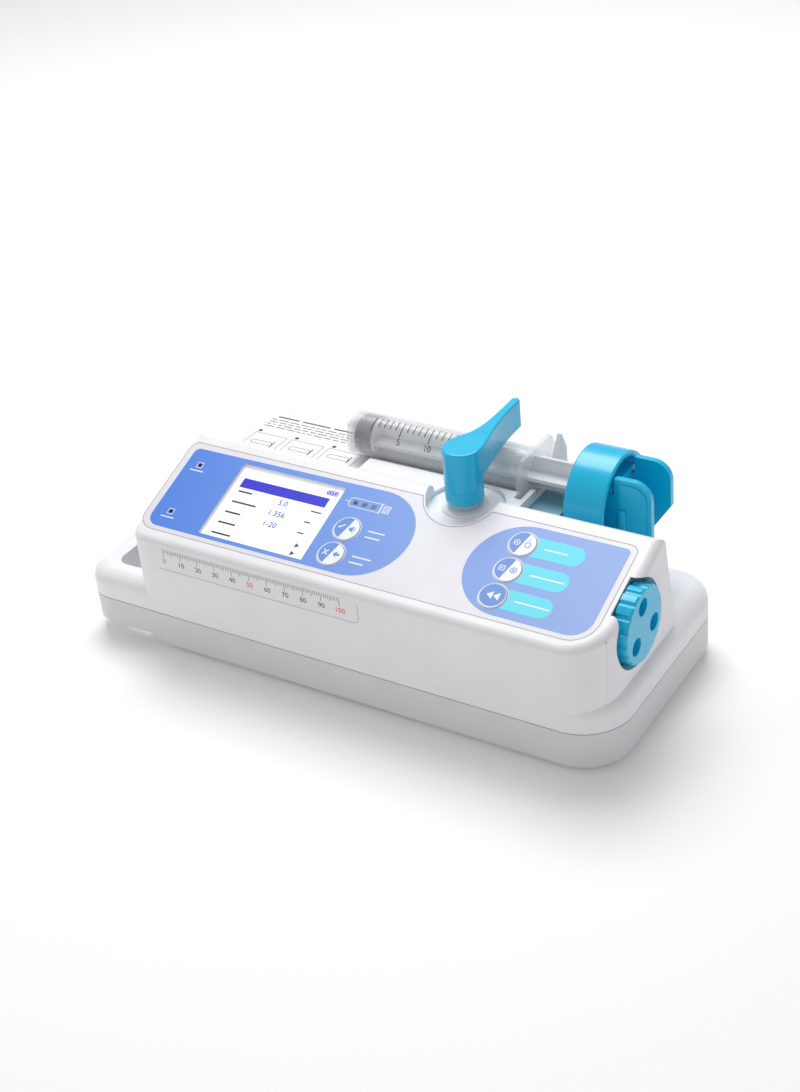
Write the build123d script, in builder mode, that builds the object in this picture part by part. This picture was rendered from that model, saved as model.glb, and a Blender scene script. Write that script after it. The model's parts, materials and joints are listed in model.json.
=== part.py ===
"""Bench-top syringe infusion pump with a 20 ml syringe loaded.

Frame: millimetres, +Z up, +X along the body towards the pusher end, -Y is the front.
The origin is on the floor under the middle of the base.
"""
import os
from math import cos, radians, sin, tan

from build123d import *

os.makedirs("parts", exist_ok=True)

# ---------------------------------------------------------------- driving dimensions
body_length = 289.0
body_depth = 121.0
housing_bottom = 1.2
parting_z = 22.3
parting_gap = 0.4
ledge_z = 37.0
wall = 2.5
corner_front_left = 14.0
corner_front_right = 24.0
corner_back = 20.0
ledge_edge_radius = 8.0
bottom_edge_radius = 5.0

left = -body_length / 2
right = body_length / 2
front = -body_depth / 2
back = body_depth / 2

# carry handle at the left end
handle_bottom = 7.8
handle_step_start = 38.6
handle_step_end = 48.7
slot_from_left = 14.0
slot_width = 19.0
slot_inset = 11.0
slot_radius = 6.0

# console
console_inset_left = 36.0
console_inset_right = 3.7
panel_angle = 20.0
lip_z = 65.5
ridge_depth = 65.7
trough_wall_foot = 77.6
console_edge_radius = 4.0
console_left = left + console_inset_left
console_right = right - console_inset_right
ridge_y = front + ridge_depth
ridge_z = lip_z + ridge_depth * tan(radians(panel_angle))

# deck, cradle and syringe
deck_z = 76.0
deck_inset_back = 2.0
deck_corner = 10.0
deck_start = 58.0
cradle_from_left = 124.0
cradle_z = 83.0
cradle_half_angle = 60.0
flange_from_left = 206.0
flange_slot_clearance = 0.8
slot_side_gap = 1.0
rod_notch_gap = 1.0
tooth_thickness = 2.5
fin_z = 98.0
fin_width = 9.0

barrel_od = 21.7
barrel_wall = 1.0
barrel_length = 99.0
barrel_end_wall = 1.6
flange_thickness = 2.0
flange_wings = 15.3
flange_rim = 2.8
flange_width = barrel_od + flange_wings
flange_height = barrel_od + flange_rim
nozzle_length = 9.0
nozzle_od = 4.4
nozzle_bore = 2.0
nozzle_offset = 5.5
syringe_y = front + 96.0
barrel_over_deck = 0.45
syringe_z = deck_z + barrel_over_deck + barrel_od / 2
rod_width = 16.5
rod_web = 1.8
stopper_gap = 1.6
stopper_length = 9.0
stopper_clearance = 0.05
stopper_groove = 0.8
stopper_ring = 2.0
thumb_rest_diameter = 24.0
thumb_rest_thickness = 2.2

cradle_left = left + cradle_from_left
flange_left = left + flange_from_left
slot_left = flange_left - flange_slot_clearance
slot_right = flange_left + flange_thickness + flange_slot_clearance
block_right = slot_right + tooth_thickness
deck_back = back - deck_inset_back
barrel_left = flange_left - barrel_length + flange_thickness
cradle_vertex_z = syringe_z - (barrel_od / 2 + 0.05) / sin(radians(cradle_half_angle))

# front panel, measured along the slope from the front edge (s) and up from the slope
overlay_thickness = 0.4
overlay_left = left + 37.0
overlay_right = right - 11.0
overlay_bottom = 5.8
overlay_top = 61.0
screen_width = 57.6
screen_height = 43.2
screen_left = left + 71.9
screen_bottom = 11.1
screen_margin = 0.5
key_diameter = 12.8
key_rise = 0.7
key_travel = 0.5
key_clearance = 0.25
key_flange = 0.7
key_flange_thickness = 0.9
key_gap = 0.1
display_border = 4.5
display_thickness = 3.6
board_drop = 8.3
board_thickness = 1.6
light_size = 2.2
light_pitch = 5.0
overlay_radius_top = 4.5
overlay_radius_left = 9.0
overlay_radius_right = 13.0
notch_margin = 0.8
strip_thickness = 0.3

# syringe clamp
clamp_x = left + 187.0
clamp_y = front + 64.0
clamp_shaft_diameter = 13.4
clamp_sleeve_diameter = clamp_shaft_diameter + 4.6
clamp_sleeve_bottom = 86.0
clamp_gap = 0.35
clamp_arm_height = 14.1
clamp_arm_z = syringe_z + barrel_od / 2 + clamp_gap
clamp_top = clamp_arm_z + clamp_arm_height
clamp_reach = 51.0
clamp_tip_radius = 2.2
clamp_tip_x = 1.2
clamp_edge = 1.0
clamp_lift = 14.0
well_radius = 18.4
well_floor = 81.0
bush_flange = clamp_shaft_diameter + 8.6
bush_radius = clamp_shaft_diameter / 2 + 1.8
bush_length = 7.0
bush_flange_thickness = 1.5
clamp_bore_top = clamp_arm_z + 5.5
clamp_foot_z = 28.0
clamp_foot_radius = clamp_shaft_diameter / 2 + 1.8
clamp_foot_thickness = 1.8
collar_z = 30.0
collar_height = 6.0
collar_radius = clamp_shaft_diameter / 2 + 4.3
collar_room = 1.0
finger_reach = 14.6
finger_half_width = 2.0
spring_radius = clamp_shaft_diameter / 2 + 2.5
spring_wire = 1.6
spring_pitch = 4.4
spring_end_gap = 0.3
sensor_gap = 0.6
sensor_body = 1.8
sensor_half_width = 8.0
sensor_top = 62.0
running_fit = 0.05

# jog wheel
jog_radius = 18.0
jog_thickness = 7.5
jog_face_inset = 0.8
jog_y = front + 38.0
jog_z = 60.5
jog_pocket_radius = jog_radius + 2.6
jog_back_gap = 0.7
jog_shaft = 6.0
jog_hole_gap = 0.3
jog_dimple_radius = 4.2
jog_dimple_pitch = 10.3
jog_scallops = 18
jog_scallop_radius = 1.7
jog_dimple_depth = 3.0
encoder_length = 8.0
encoder_size = 14.0
jog_face_x = right - jog_face_inset
jog_pocket_x = jog_face_x - jog_thickness - jog_back_gap

# drive
drive_y = front + 96.0
screw_z = 48.0
screw_diameter = 8.0
plate_left_x = left + 56.0
plate_right_x = left + 197.0
plate_thickness = 4.0
plate_half_width = 18.0
plate_top = 57.0
rod_spacing = 23.0
rod_diameter = 8.0
bush_od = 12.0
bearing_od = 14.0
bearing_length = 4.0
gear_teeth = 48
pinion_teeth = 16
gear_module = 0.8
gear_thickness = 5.0
motor_size = 35.0
motor_length = 28.0
motor_shaft = 5.0
slide_bottom = 58.0
slide_top = 66.0
slide_half_width = 17.0
slide_gap = 0.35
carriage_from_left = 86.0
carriage_length = 24.0
carriage_bottom = 41.0
nut_end_wall = 4.0
nut_half_width = 4.6
nut_gap = 0.4
gear_plate_gap = 3.0
guide_length = 16.0
guide_rim = 1.5
guide_top = 77.5

# pusher
hood_radius = 23.2
hood_wall = 2.6
hood_z = 82.0
hood_from_flange = 26.0
hood_length = 20.0
hood_bottom = 64.5
lever_top = 100.0
lever_reach = 18.5
lever_thickness = 3.0
lever_half_gap = 9.0
lever_angle_room = 0.6
pin_diameter = 3.0
pusher_plate = 6.0
pin_from_rim = 4.5
bracket_reach = 4.0
bracket_z = 92.0
bracket_thickness = 3.0
bracket_gap = 0.4
hood_edge = 1.0
lever_hub = 6.6
lever_round = 9.0
hood_left = flange_left + hood_from_flange
hood_right = hood_left + hood_length
head_left = hood_left + 0.6
plate_x = head_left + thumb_rest_thickness + 0.1

# battery, boards, sockets
battery_left_of_middle = 26.5
battery_length = 66.0
battery_width = 38.0
battery_height = 24.0
battery_from_front = 7.0
cover_margin = 3.0
cover_clearance = 0.3
inlet_from_front = 25.0
inlet_width = 27.0
inlet_height = 20.0
inlet_depth = 18.0
inlet_z = 50.0
port_from_front = 75.0
port_width = 31.0
port_height = 12.5
port_body = 10.0
port_opening = 19.0
foot_diameter = 12.0
insert_spacing_x = 100.0
insert_spacing_y = 25.0
insert_od = 6.0
insert_boss = 4.8
insert_bore = 4.0
insert_depth = 7.0
insert_plate_gap = 0.2
screw_shank = 3.0
screw_head = 5.6
screw_head_height = 2.2
screw_bite = 8.0
socket_rim = 2.0
socket_flange = 1.6
socket_gap = 0.2
inlet_mouth_width = 23.0
inlet_mouth_height = 15.5
inlet_mouth_chamfer = 4.5
inlet_mouth_depth = 14.0
port_depth = 9.0
blade_width = 2.0
blade_recess = 4.0
blade_spots = ((-7.0, -2.0), (7.0, -2.0), (0.0, 2.0))
foot_chamfer = 0.4
power_z = 10.4
boss_radius = 4.2


# ---------------------------------------------------------------- shared helpers
def rounded_plan(x0, x1, y0, y1, radii, z):
    """Rectangle at height z with radii for front left, front right, back right, back left."""
    corners = [(x0, y0), (x1, y0), (x1, y1), (x0, y1)]
    with BuildSketch(Plane.XY.offset(z)) as outline:
        with Locations(((x0 + x1) / 2, (y0 + y1) / 2)):
            Rectangle(x1 - x0, y1 - y0)
        for corner, radius in zip(corners, radii):
            nearest = outline.vertices().sort_by_distance(Vector(*corner, 0))[0]
            fillet(nearest, radius)
    return outline.sketch


def block(x0, x1, y0, y1, z0, z1, mode=Mode.ADD):
    """Box between two corners, joined to the open part."""
    with Locations(((x0 + x1) / 2, (y0 + y1) / 2, (z0 + z1) / 2)):
        Box(x1 - x0, y1 - y0, z1 - z0, mode=mode)


def upright(x, y, z0, z1, radius, mode=Mode.ADD):
    """Vertical cylinder between two heights, joined to the open part."""
    with Locations((x, y, (z0 + z1) / 2)):
        Cylinder(radius, z1 - z0, mode=mode)


def along_x(x0, x1, y, z, radius, mode=Mode.ADD):
    """Cylinder along X between two stations, joined to the open part."""
    with Locations(((x0 + x1) / 2, y, z)):
        Cylinder(radius, x1 - x0, rotation=(0, 90, 0), mode=mode)


panel_normal = Vector(0, -sin(radians(panel_angle)), cos(radians(panel_angle)))
panel_axis = Axis((0, front, lip_z), panel_normal)


def panel_plane(rise=0.0):
    """Plane of the sloped panel raised by rise: local x along the body, local y up the slope."""
    return Plane(origin=Vector(0, front, lip_z) + panel_normal * rise, x_dir=(1, 0, 0), z_dir=panel_normal)


def panel_height(depth, drop=0.0):
    """Height of the sloped panel at a depth behind the front face, less a drop square to it."""
    return lip_z + depth * tan(radians(panel_angle)) - drop / cos(radians(panel_angle))


def finish(piece, name):
    """Label a piece and write it."""
    piece.part.label = name
    export_step(piece.part, f"parts/{name}.step")


base_radii = (corner_front_left, corner_front_right, corner_back, corner_back)
inner_radii = tuple(radius - wall for radius in base_radii)
slot_x0 = left + slot_from_left
slot_x1 = slot_x0 + slot_width
slot_y0 = front + slot_inset
slot_y1 = back - slot_inset
screw_spots = [
    (left + 26.0, front + 6.0),
    (left + 26.0, back - 6.0),
    (left + 116.0, front + 64.0),
    (left + 240.0, front + 64.0),
    (right - 21.0, front + 16.0),
    (right - 17.0, back - 15.0),
]
screw_seats = [handle_bottom, handle_bottom] + [housing_bottom] * 4
insert_mid_y = drive_y - plate_half_width - insert_boss - insert_plate_gap - insert_spacing_y / 2
insert_spots = [
    (side_x * insert_spacing_x / 2, insert_mid_y + side_y * insert_spacing_y / 2)
    for side_x in (-1, 1)
    for side_y in (-1, 1)
]

# ---------------------------------------------------------------- lower housing
with BuildPart() as lower_cavity:
    floor_plan = rounded_plan(
        left + wall,
        right - wall,
        front + wall,
        back - wall,
        inner_radii,
        housing_bottom + wall,
    )
    extrude(floor_plan, amount=parting_z)
    with BuildSketch(Plane.XZ) as step_profile:
        with BuildLine():
            Polyline(
                (left, 0),
                (left, handle_bottom + wall),
                (left + handle_step_start, handle_bottom + wall),
                (left + handle_step_end + wall, housing_bottom + wall),
                (left + handle_step_end + wall, 0),
                close=True,
            )
        make_face()
    extrude(amount=body_depth, both=True, mode=Mode.SUBTRACT)
    block(
        slot_x0 - wall,
        slot_x1 + wall,
        slot_y0 - wall,
        slot_y1 + wall,
        0,
        2 * parting_z,
        mode=Mode.SUBTRACT,
    )
    for spot_x, spot_y in screw_spots:
        upright(spot_x, spot_y, 0, 2 * parting_z, boss_radius, mode=Mode.SUBTRACT)
    for insert_x, insert_y in insert_spots:
        upright(insert_x, insert_y, 0, housing_bottom + insert_depth + 1, insert_boss, mode=Mode.SUBTRACT)

battery_x0 = -battery_left_of_middle
battery_y0 = front + battery_from_front
with BuildPart() as lower_housing:
    base_plan = rounded_plan(left, right, front, back, base_radii, housing_bottom)
    extrude(base_plan, amount=parting_z - parting_gap - housing_bottom)
    with BuildSketch(Plane.XZ) as underside:
        with BuildLine():
            Polyline(
                (left - 1, 0),
                (left - 1, handle_bottom),
                (left + handle_step_start, handle_bottom),
                (left + handle_step_end, housing_bottom),
                (left + handle_step_end, 0),
                close=True,
            )
        make_face()
    extrude(amount=body_depth, both=True, mode=Mode.SUBTRACT)
    underside_face = lower_housing.faces().sort_by(Axis.Z)[0]
    fillet(underside_face.edges().filter_by(Axis.Y, reverse=True), bottom_edge_radius)
    add(lower_cavity.part, mode=Mode.SUBTRACT)
    extrude(
        rounded_plan(slot_x0, slot_x1, slot_y0, slot_y1, (slot_radius,) * 4, 0),
        amount=2 * parting_z,
        mode=Mode.SUBTRACT,
    )
    block(
        battery_x0 - cover_margin,
        battery_x0 + battery_length + cover_margin,
        battery_y0 - cover_margin,
        battery_y0 + battery_width + cover_margin,
        0,
        housing_bottom + wall + 0.1,
        mode=Mode.SUBTRACT,
    )
    for (spot_x, spot_y), seat in zip(screw_spots, screw_seats):
        upright(spot_x, spot_y, 0, 2 * parting_z, screw_shank / 2 + 0.2, mode=Mode.SUBTRACT)
        upright(spot_x, spot_y, 0, seat + screw_head_height, screw_head / 2 + 0.3, mode=Mode.SUBTRACT)
    for insert_x, insert_y in insert_spots:
        upright(insert_x, insert_y, 0, housing_bottom + insert_depth, insert_od / 2, mode=Mode.SUBTRACT)
finish(lower_housing, "lower_housing")

# ---------------------------------------------------------------- panel layout
well_s = clamp_y - front
key_spots = {
    "enter_key": (left + 142.7, 32.5),
    "cancel_key": (left + 142.5, 17.4),
    "power_key": (left + 226.8, 47.4),
    "start_key": (left + 226.6, 32.5),
    "bolus_key": (left + 226.4, 17.6),
}
battery_light_spot = (left + 48.9, 47.8)
mains_light_spot = (left + 50.3, 18.1)
syringe_light_spots = [(left + 138.9 + step * light_pitch, 48.1) for step in range(3)]
light_spots = [battery_light_spot, mains_light_spot] + syringe_light_spots
screen_x = screen_left + screen_width / 2
screen_s = screen_bottom + screen_height / 2

with BuildSketch(panel_plane()) as overlay_face:
    with Locations(((overlay_left + overlay_right) / 2, (overlay_bottom + overlay_top) / 2)):
        Rectangle(overlay_right - overlay_left, overlay_top - overlay_bottom)
    overlay_corners = overlay_face.vertices().group_by(Axis.Y)
    fillet(overlay_corners[-1], overlay_radius_top)
    fillet(overlay_face.vertices().group_by(Axis.Y)[0].sort_by(Axis.X)[0], overlay_radius_left)
    fillet(overlay_face.vertices().group_by(Axis.Y)[0].sort_by(Axis.X)[-1], overlay_radius_right)
    with Locations((clamp_x, well_s / cos(radians(panel_angle)))):
        Ellipse(
            well_radius + notch_margin,
            (well_radius + notch_margin) / cos(radians(panel_angle)),
            mode=Mode.SUBTRACT,
        )
overlay_outline = overlay_face.sketch

with BuildSketch(panel_plane()) as opening_faces:
    with Locations((screen_x, screen_s)):
        Rectangle(screen_width + 2 * screen_margin, screen_height + 2 * screen_margin)
    with Locations(*key_spots.values()):
        Circle(key_diameter / 2 + key_clearance)
    with Locations(*light_spots):
        Rectangle(light_size, light_size)
panel_openings = opening_faces.sketch

ruler_x0 = left + 48.0
ruler_x1 = left + 166.0
ruler_z0 = 49.5
ruler_z1 = lip_z - console_edge_radius + 0.6
label_x0 = left + 42.0
label_x1 = cradle_left - 3.0
label_y0 = front + 73.0
label_y1 = deck_back - 5.0
label_radii = (2.0, 2.0, 2.0, 7.0)
inlet_y0 = front + inlet_from_front
inlet_y1 = inlet_y0 + inlet_width
port_y0 = front + port_from_front
port_y1 = port_y0 + port_width
board_x0 = left + 44.0
board_x1 = right - 28.0
board_s0 = 8.0
board_s1 = 57.0
standoff_spots = [
    (board_x0 + 5, board_s0 + 4),
    (board_x0 + 5, board_s1 - 4),
    (left + 152.0, board_s0 + 2),
    (left + 157.0, board_s1 - 18),
    (board_x1 - 5, board_s0 + 6),
    (board_x1 - 5, board_s1 - 4),
]
power_x0 = left + 54.0
power_x1 = left + 112.0
foot_spots = [
    (left + 64.0, front + 14.0),
    (left + 64.0, back - 14.0),
    (right - 42.0, front + 14.0),
    (right - 42.0, back - 14.0),
]

# ---------------------------------------------------------------- upper housing
with BuildPart() as console_form:
    with BuildSketch(Plane.YZ.offset(console_left)) as console_profile:
        with BuildLine():
            Polyline(
                (front, parting_z),
                (front, lip_z),
                (ridge_y, ridge_z),
                (front + trough_wall_foot, parting_z),
                close=True,
            )
        make_face()
    extrude(amount=console_right - console_left)
    console_plan = rounded_plan(
        console_left,
        console_right,
        front,
        front + trough_wall_foot + 5,
        (8, corner_front_right - 2, 1, 1),
        parting_z,
    )
    extrude(console_plan, amount=ridge_z, mode=Mode.INTERSECT)
    panel_face = console_form.faces().sort_by(panel_axis)[-1]
    fillet(panel_face.edges(), console_edge_radius)

with BuildPart() as upper_cavity:
    base_inset = rounded_plan(left + wall, right - wall, front + wall, back - wall, inner_radii, parting_z)
    extrude(base_inset, amount=ledge_z - wall - parting_z)
    with BuildSketch(Plane.YZ.offset(console_left + wall)) as hollow_profile:
        with BuildLine():
            Polyline(
                (front + wall, parting_z),
                (front + wall, panel_height(wall, wall)),
                (ridge_y - 2 * wall, panel_height(ridge_depth - 2 * wall, wall)),
                (front + trough_wall_foot - 1.4 * wall, parting_z),
                close=True,
            )
        make_face()
    extrude(amount=console_right - console_left - 2 * wall)
    for room_x1, room_top in ((cradle_left, deck_z), (block_right - wall, cradle_vertex_z)):
        room_plan = rounded_plan(
            console_left + wall,
            room_x1,
            front + deck_start - 10,
            deck_back - wall,
            (1, 1, 1, deck_corner - wall),
            parting_z,
        )
        extrude(room_plan, amount=room_top - wall - parting_z)
    corner_keep = rounded_plan(
        left + wall,
        right - wall,
        front + wall,
        back - wall,
        inner_radii,
        parting_z,
    )
    extrude(corner_keep, amount=ridge_z, mode=Mode.INTERSECT)
    block(slot_x0 - wall, slot_x1 + wall, slot_y0 - wall, slot_y1 + wall, 0, ledge_z, mode=Mode.SUBTRACT)
    for spot_x, spot_y in screw_spots:
        upright(spot_x, spot_y, 0, 2 * ledge_z + ridge_z, boss_radius, mode=Mode.SUBTRACT)
    upright(clamp_x, clamp_y, well_floor - wall, 2 * ridge_z, well_radius + wall, mode=Mode.SUBTRACT)
    along_x(jog_pocket_x - wall, right, jog_y, jog_z, jog_pocket_radius + wall, mode=Mode.SUBTRACT)

with BuildPart() as upper_housing:
    extrude(rounded_plan(left, right, front, back, base_radii, parting_z), amount=ledge_z - parting_z)
    fillet(upper_housing.faces().sort_by(Axis.Z)[-1].edges(), ledge_edge_radius)
    add(console_form.part)
    deck_plan = rounded_plan(
        console_left,
        block_right,
        front + deck_start,
        deck_back,
        (1, 1, 2, deck_corner),
        parting_z,
    )
    extrude(deck_plan, amount=deck_z - parting_z)
    block(cradle_left, block_right, front + deck_start, deck_back, deck_z - 1, cradle_z)
    with BuildSketch(Plane.YZ.offset(slot_right)) as fin_profile:
        with BuildLine():
            Polyline(
                (deck_back - 2 * fin_width, deck_z),
                (deck_back - fin_width / 2, fin_z),
                (deck_back, fin_z - fin_width),
                (deck_back, deck_z),
                close=True,
            )
        make_face()
    extrude(amount=tooth_thickness)
    with BuildSketch(Plane.YZ.offset(cradle_left - 1)) as cradle_profile:
        with BuildLine():
            rise = 2 * barrel_od
            half = rise * tan(radians(cradle_half_angle))
            Polyline(
                (syringe_y, cradle_vertex_z),
                (syringe_y + half, cradle_vertex_z + rise),
                (syringe_y - half, cradle_vertex_z + rise),
                close=True,
            )
        make_face()
    extrude(amount=slot_right - cradle_left + 1, mode=Mode.SUBTRACT)
    add(upper_cavity.part, mode=Mode.SUBTRACT)
    hand_slot = rounded_plan(slot_x0, slot_x1, slot_y0, slot_y1, (slot_radius,) * 4, 0)
    extrude(hand_slot, amount=2 * ledge_z, mode=Mode.SUBTRACT)
    # flange slot, and the notch for the plunger rod in the tooth to its right
    block(
        slot_left,
        slot_right,
        syringe_y - flange_width / 2 - slot_side_gap,
        syringe_y + flange_width / 2 + slot_side_gap,
        syringe_z - flange_height / 2 - slot_side_gap / 2,
        fin_z + 1,
        mode=Mode.SUBTRACT,
    )
    block(
        slot_right - 0.1,
        block_right + 0.1,
        syringe_y - rod_width / 2 - rod_notch_gap,
        syringe_y + rod_width / 2 + rod_notch_gap,
        syringe_z - rod_width / 2 - rod_notch_gap,
        fin_z,
        mode=Mode.SUBTRACT,
    )
    # way out for the slide plate
    block(
        block_right - 2 * wall,
        block_right + 1,
        drive_y - slide_half_width - slide_gap,
        drive_y + slide_half_width + slide_gap,
        slide_bottom - slide_gap,
        slide_top + slide_gap,
        mode=Mode.SUBTRACT,
    )
    # clamp well and the hole for its bush
    upright(clamp_x, clamp_y, well_floor, 2 * ridge_z, well_radius, mode=Mode.SUBTRACT)
    upright(clamp_x, clamp_y, well_floor - 2 * wall, well_floor + 1, bush_radius, mode=Mode.SUBTRACT)
    upright(clamp_x, clamp_y, parting_z, well_floor - wall, collar_radius + collar_room, mode=Mode.SUBTRACT)
    # jog wheel pocket and its shaft hole
    along_x(jog_pocket_x, right + 1, jog_y, jog_z, jog_pocket_radius, mode=Mode.SUBTRACT)
    along_x(jog_pocket_x - 2 * wall, right, jog_y, jog_z, jog_shaft / 2 + jog_hole_gap, mode=Mode.SUBTRACT)
    # panel openings
    extrude(overlay_outline, amount=-overlay_thickness, mode=Mode.SUBTRACT)
    extrude(panel_openings, amount=-2 * wall, mode=Mode.SUBTRACT)
    # shallow beds of the ruler strip and the instruction label
    block(ruler_x0, ruler_x1, front - 1, front + strip_thickness, ruler_z0, ruler_z1, mode=Mode.SUBTRACT)
    label_bed = rounded_plan(label_x0, label_x1, label_y0, label_y1, label_radii, deck_z - strip_thickness)
    extrude(label_bed, amount=1, mode=Mode.SUBTRACT)
    # sockets in the left end of the console
    for socket_y0, socket_y1, socket_height in (
        (inlet_y0, inlet_y1, inlet_height),
        (port_y0, port_y1, port_height),
    ):
        block(
            console_left - 1,
            console_left + 2 * wall,
            socket_y0,
            socket_y1,
            inlet_z - socket_height / 2,
            inlet_z + socket_height / 2,
            mode=Mode.SUBTRACT,
        )
    for spot_x, spot_y in screw_spots:
        upright(spot_x, spot_y, 0, parting_z + screw_bite, screw_shank / 2, mode=Mode.SUBTRACT)
finish(upper_housing, "upper_housing")

# ---------------------------------------------------------------- casing trim
with BuildPart() as rubber_feet:
    with BuildSketch() as foot_marks:
        with Locations(*foot_spots):
            Circle(foot_diameter / 2)
    extrude(amount=housing_bottom)
    chamfer(rubber_feet.edges().group_by(Axis.Z)[0], foot_chamfer)
finish(rubber_feet, "rubber_feet")

with BuildPart() as housing_screws:
    for (spot_x, spot_y), seat in zip(screw_spots, screw_seats):
        upright(spot_x, spot_y, seat + 0.3, seat + screw_head_height, screw_head / 2)
        upright(spot_x, spot_y, seat + screw_head_height, parting_z + screw_bite - 1, screw_shank / 2)
finish(housing_screws, "housing_screws")

with BuildPart() as mount_inserts:
    for insert_x, insert_y in insert_spots:
        upright(insert_x, insert_y, housing_bottom, housing_bottom + insert_depth, insert_od / 2)
        upright(insert_x, insert_y, 0, 2 * insert_depth, insert_bore / 2, mode=Mode.SUBTRACT)
finish(mount_inserts, "mount_inserts")

with BuildPart() as battery_cover:
    block(
        battery_x0 - cover_margin + cover_clearance,
        battery_x0 + battery_length + cover_margin - cover_clearance,
        battery_y0 - cover_margin + cover_clearance,
        battery_y0 + battery_width + cover_margin - cover_clearance,
        housing_bottom,
        housing_bottom + wall,
    )
    fillet(battery_cover.edges().filter_by(Axis.Z), 2)
    with Locations((battery_x0 + battery_length - 6, battery_y0 + battery_width / 2, housing_bottom)):
        Box(4, 16, 1.6, mode=Mode.SUBTRACT)
finish(battery_cover, "battery_cover")

with BuildPart() as battery_pack:
    block(
        battery_x0,
        battery_x0 + battery_length,
        battery_y0,
        battery_y0 + battery_width,
        housing_bottom + wall,
        housing_bottom + wall + battery_height,
    )
    fillet(battery_pack.edges().filter_by(Axis.X), battery_height / 4)
finish(battery_pack, "battery_pack")

# ---------------------------------------------------------------- front panel
with BuildPart() as front_overlay:
    extrude(overlay_outline, amount=-overlay_thickness)
    extrude(panel_openings, amount=-2 * wall, mode=Mode.SUBTRACT)
    along_x(jog_pocket_x, right + 1, jog_y, jog_z, jog_pocket_radius, mode=Mode.SUBTRACT)
finish(front_overlay, "front_overlay")

with BuildPart() as display_window:
    with BuildSketch(panel_plane(-overlay_thickness)):
        with Locations((screen_x, screen_s)):
            Rectangle(screen_width + screen_margin, screen_height + screen_margin)
    extrude(amount=-(wall - overlay_thickness))
finish(display_window, "display_window")

with BuildPart() as display_module:
    with BuildSketch(panel_plane(-wall)):
        with Locations((screen_x, screen_s)):
            Rectangle(screen_width + 2 * display_border, screen_height + 2 * display_border)
    extrude(amount=-display_thickness)
finish(display_module, "display_module")

for key_name, spot in key_spots.items():
    with BuildPart() as key:
        with BuildSketch(panel_plane(key_rise)):
            with Locations(spot):
                Circle(key_diameter / 2)
        extrude(amount=-(key_rise + wall + key_gap))
        fillet(key.edges().sort_by(panel_axis)[-1], key_rise / 2)
        with BuildSketch(panel_plane(-(wall + key_gap))):
            with Locations(spot):
                Circle(key_diameter / 2 + key_flange)
        extrude(amount=-key_flange_thickness)
    finish(key, key_name)

switch_top = wall + key_gap + key_flange_thickness + key_travel + key_gap
with BuildPart() as key_switches:
    with BuildSketch(panel_plane(-switch_top)):
        with Locations(*key_spots.values()):
            Circle(1.7)
    extrude(amount=-1.5)
    with BuildSketch(panel_plane(-switch_top - 1.2)):
        with Locations(*key_spots.values()):
            Rectangle(6.0, 6.0)
    extrude(amount=-(board_drop - switch_top - 1.2))
finish(key_switches, "key_switches")

light_names = ["battery_light", "mains_light", "syringe_lights"]
light_groups = [[battery_light_spot], [mains_light_spot], syringe_light_spots]
for light_name, spots in zip(light_names, light_groups):
    with BuildPart() as light:
        with BuildSketch(panel_plane()):
            with Locations(*spots):
                Rectangle(light_size - 0.2, light_size - 0.2)
        extrude(amount=-board_drop)
    finish(light, light_name)

with BuildPart() as main_board:
    with BuildSketch(panel_plane(-board_drop)):
        with Locations(((board_x0 + board_x1) / 2, (board_s0 + board_s1) / 2)):
            Rectangle(board_x1 - board_x0, board_s1 - board_s0)
        board_well_s = (well_s - board_drop * sin(radians(panel_angle))) / cos(radians(panel_angle))
        with Locations((clamp_x, board_well_s)):
            Circle((well_radius + 2 * wall) / cos(radians(panel_angle)), mode=Mode.SUBTRACT)
    extrude(amount=-board_thickness)
    with BuildSketch(panel_plane(-board_drop - board_thickness)):
        with Locations((left + 60.0, 24.0), (left + 165.0, 20.0)):
            Rectangle(14, 14)
        with Locations((left + 100.0, 16.0), (left + 100.0, 40.0)):
            Rectangle(18, 8)
    extrude(amount=-2.2)
finish(main_board, "main_board")

with BuildPart() as board_standoffs:
    with BuildSketch(panel_plane(-wall)):
        with Locations(*standoff_spots):
            Circle(2.4)
    extrude(amount=-(board_drop - wall))
finish(board_standoffs, "board_standoffs")

with BuildPart() as ruler_strip:
    block(ruler_x0, ruler_x1, front, front + strip_thickness, ruler_z0, ruler_z1)
finish(ruler_strip, "ruler_strip")

with BuildPart() as instruction_label:
    extrude(
        rounded_plan(label_x0, label_x1, label_y0, label_y1, label_radii, deck_z - strip_thickness),
        amount=strip_thickness,
    )
finish(instruction_label, "instruction_label")

# ---------------------------------------------------------------- power and sockets
floor_z = housing_bottom + wall
with BuildPart() as power_board:
    block(power_x0, power_x1, front + 7, front + 55, power_z, power_z + board_thickness)
    block(power_x0 + 6, power_x0 + 34, front + 12, front + 36, power_z + board_thickness, power_z + 20)
    upright(power_x1 - 14, front + 20, power_z + board_thickness, power_z + 17, 7)
    upright(power_x1 - 14, front + 38, power_z + board_thickness, power_z + 14, 5)
    block(power_x1 - 28, power_x1 - 24, front + 12, front + 44, power_z + board_thickness, power_z + 16)
    for pillar_x in (power_x0 + 4, power_x1 - 4):
        for pillar_y in (front + 10, front + 52):
            upright(pillar_x, pillar_y, floor_z, power_z, 2.5)
finish(power_board, "power_board")

with BuildPart() as buzzer:
    upright(right - 43.0, front + 32.0, floor_z, floor_z + 8, 11)
    upright(right - 43.0, front + 32.0, floor_z + 6, floor_z + 9, 1.5, mode=Mode.SUBTRACT)
finish(buzzer, "buzzer")

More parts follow.
